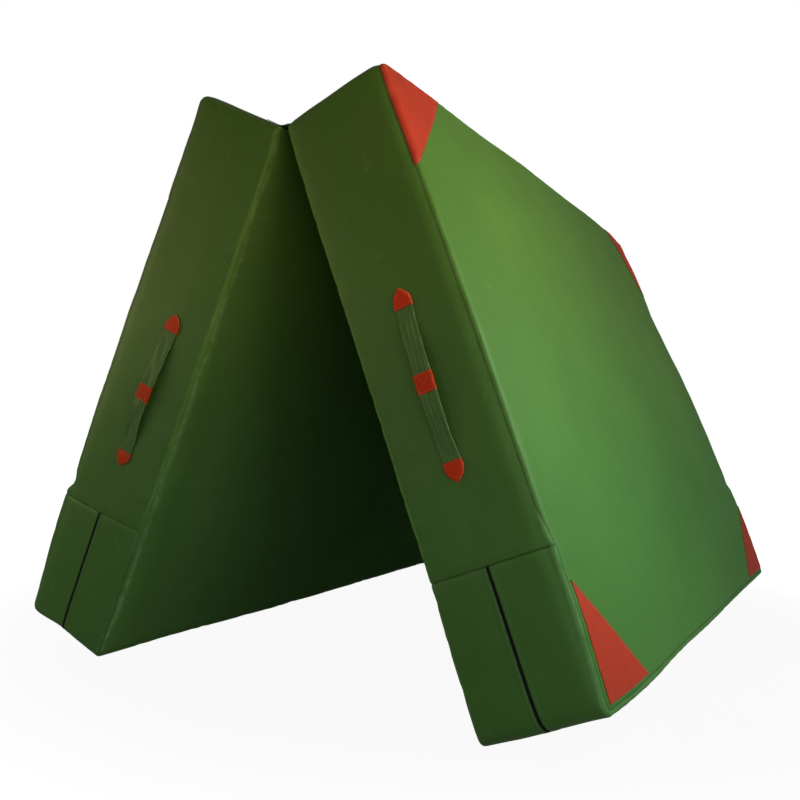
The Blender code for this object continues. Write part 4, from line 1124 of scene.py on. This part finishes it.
# Fabric hinge. One strip of the green cloth laid in the notch between the two top ends and sewn to
# both, so that the panels fold about it.
HINGE_FLAP = 0.048
HINGE_LANDING = 0.020
HINGE_ROW = HINGE_FLAP - 0.006
HINGE_HALF = HALF_WIDTH - 0.018
steps = np.concatenate([np.linspace(0, HINGE_LANDING, 13), np.linspace(HINGE_LANDING, HINGE_FLAP, 10)[1:]])
landed = np.clip(steps / HINGE_LANDING, 0, 1)[:, None]
hem = 0.0004 * smooth((steps - HINGE_ROW) / 0.001)[:, None]
across = np.clip(steps - FOLD_ALLOWANCE, 0, None)[:, None]
wide = np.linspace(-HINGE_HALF, HINGE_HALF, 141)[None, :] + 0 * across
from_seam = across + TOP_SEAM_DOWN + 0 * wide
halves = []
for panel in ("left", "right"):
    give = slack(panel, place(across, wide, 0.0), place(0.0, wide, TOP_SEAM_DOWN), from_seam)
    near_wall = FOLD_ALLOWANCE - bulge(across) - np.maximum(give, -0.0025) - CLEARANCE - 0.0002
    under = near_wall * (landed * (2 - landed))
    halves.append(stand_up(panel, place(steps[:, None] - FOLD_ALLOWANCE, wide, under - hem - FOLD_ALLOWANCE)))
points = np.concatenate([halves[0][::-1], halves[1][1:]])
points[len(steps) - 1] = (halves[0][0] + halves[1][0]) / 2
marks = {"seam": np.full(points.shape[:2], NO_SEAM), "wear_and_highlight": 0.5 * hump(points[..., 0] / 0.006)}
below, cells = np.array([0, 0, FOLD_HEIGHT - 1.0]), net(*points.shape[:2])
hinge = make_piece("fold_hinge_cloth", points, cells, green_cloth, below, spread_out(points), marks)
give_thickness(hinge, CLOTH, inwards=False)
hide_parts("fold_hinge_strip")
for panel, half in zip(("left", "right"), halves):
    row = half[int(np.argmin(np.abs(steps - HINGE_ROW)))]
    sew_rows(f"{panel}_hinge_thread", panel, "green_cover", green_thread, [(hinge, row, CLOTH + THREAD_LIFT)])
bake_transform(hinge)

# Floor, lights and camera. A pale floor and a white surround, one lamp close to the outer face, eight
# soft ones round the mat, and the camera at the place and angle of the view.
MIRRORED_SHARE = 0.15
FLOOR_REACH = 14.0
OUTER_FACE, MAT = (0.33, -0.50, 0.62), (0.20, -0.30, 0.50)


def white_to_the_eye(tree, white, lit, share):
    """White to the eye, less so to what mirrors it, and a plain surface to the lamps."""
    rays = tree.nodes.new("ShaderNodeLightPath").outputs
    mirrored_too = reckon(tree, "MAXIMUM", rays["Is Glossy Ray"], rays["Is Transmission Ray"])
    dimmed = reckon(tree, "MULTIPLY", mirrored_too, MIRRORED_SHARE)
    both = reckon(tree, "MAXIMUM", reckon(tree, "MULTIPLY", rays["Is Camera Ray"], share), dimmed)
    return add(tree, "MixShader", {0: both, 1: lit, 2: white}).outputs[0]


def soft_lamp(name, where, at, size, power, colour, spread=180):
    lamp = bpy.data.lights.new(name, "AREA")
    lamp.size, lamp.energy, lamp.color = size, power, colour
    lamp.spread = math.radians(spread)
    holder = bpy.data.objects.new(name, lamp)
    bpy.context.scene.collection.objects.link(holder)
    holder.location = where
    holder.rotation_euler = (Vector(at) - Vector(where)).to_track_quat("-Z", "Y").to_euler()
    holder.visible_camera = False


floor_mesh = bpy.data.meshes.new("floor")
corners = [(x * FLOOR_REACH, y * FLOOR_REACH, 0) for x, y in ((-1, -1), (1, -1), (1, 1), (-1, 1))]
floor_mesh.from_pydata(corners, [], [(0, 1, 2, 3)])
floor = bpy.data.objects.new("floor", floor_mesh)
bpy.context.scene.collection.objects.link(floor)
floor.location.z = -0.0005
pale, tree, shader, where = new_finish("pale_floor")
feed(tree, shader, {"Base Color": (0.12, 0.12, 0.118, 1), "Roughness": 1.0, "Specular IOR Level": 0.0})
glow = add(tree, "Emission", {"Strength": 1.12, "Color": (1, 1, 1, 1)})
away = add(tree, "VectorMath", {0: where})
away.operation = "LENGTH"
fade = add(tree, "MapRange", {"Value": away.outputs["Value"], "From Min": 0.75, "From Max": 1.7})
feed(tree, fade, {"To Min": 0.84, "To Max": 1.0})
fade.interpolation_type = "SMOOTHSTEP"
seen = white_to_the_eye(tree, glow.outputs[0], shader.outputs[0], fade.outputs["Result"])
feed(tree, tree.nodes["Material Output"], {"Surface": seen})
floor_mesh.materials.append(pale)

world = bpy.data.worlds.new("surround")
bpy.context.scene.world = world
world.use_nodes = True
tree = world.node_tree
dim, bright = tree.nodes["Background"], add(tree, "Background", {"Strength": 1.0, "Color": (1, 1, 1, 1)})
feed(tree, dim, {"Color": (0.80, 0.92, 1.0, 1), "Strength": 0.024})
seen = white_to_the_eye(tree, bright.outputs[0], dim.outputs[0], 1.0)
feed(tree, tree.nodes["World Output"], {"Surface": seen})

soft_lamp("key_lamp", (1.24, -0.58, 1.02), OUTER_FACE, 0.4, 5.7, (0.62, 1.0, 0.80))
soft_lamp("high_lamp", (1.6, 0.5, 1.3), MAT, 0.8, 7.8, (0.84, 1.0, 0.80))
soft_lamp("top_accent", (2.0, -0.74, 1.5), OUTER_FACE, 0.5, 0.6, (1.0, 0.80, 0.50), 40)
soft_lamp("side_lamp", (2.9, -1.8, 0.7), (-0.1, -0.5, 0.4), 1.2, 10.6, (1.0, 0.86, 0.98))
soft_lamp("right_fill", (1.9, -2.6, 0.55), MAT, 1.5, 9.0, (0.94, 0.80, 0.92))
soft_lamp("front_lamp", (0.9, -2.7, 0.8), (-0.1, -0.4, 0.45), 1.1, 1.8, (0.94, 0.80, 1.0))
soft_lamp("left_fill", (-1.9, -1.5, 1.0), MAT, 0.8, 6.4, (0.95, 0.90, 0.38))
soft_lamp("low_fill", (-1.2, -2.7, 0.5), (-0.2, -0.7, 0.4), 0.8, 2.4, (0.95, 0.95, 0.84))
soft_lamp("back_lamp", (-2.3, 1.9, 1.5), (0.0, 0.2, 0.5), 1.2, 34, (1.0, 0.97, 0.92))

camera_data = bpy.data.cameras.new("view")
camera = bpy.data.objects.new("view", camera_data)
bpy.context.scene.collection.objects.link(camera)
camera_data.sensor_width = 36
camera_data.lens = 862.31 / 800 * 36
right, up, back = (0.86802, 0.49554, 0.0311), (-0.01484, -0.03672, 0.99922), (0.49629, -0.8678, -0.02451)
turned_to = Matrix((right, up, back)).transposed().to_4x4()
camera.matrix_world = Matrix.Translation((0.8662, -1.7982, 0.4447)) @ turned_to
bpy.context.scene.camera = camera
bpy.context.scene.view_settings.view_transform = "Standard"
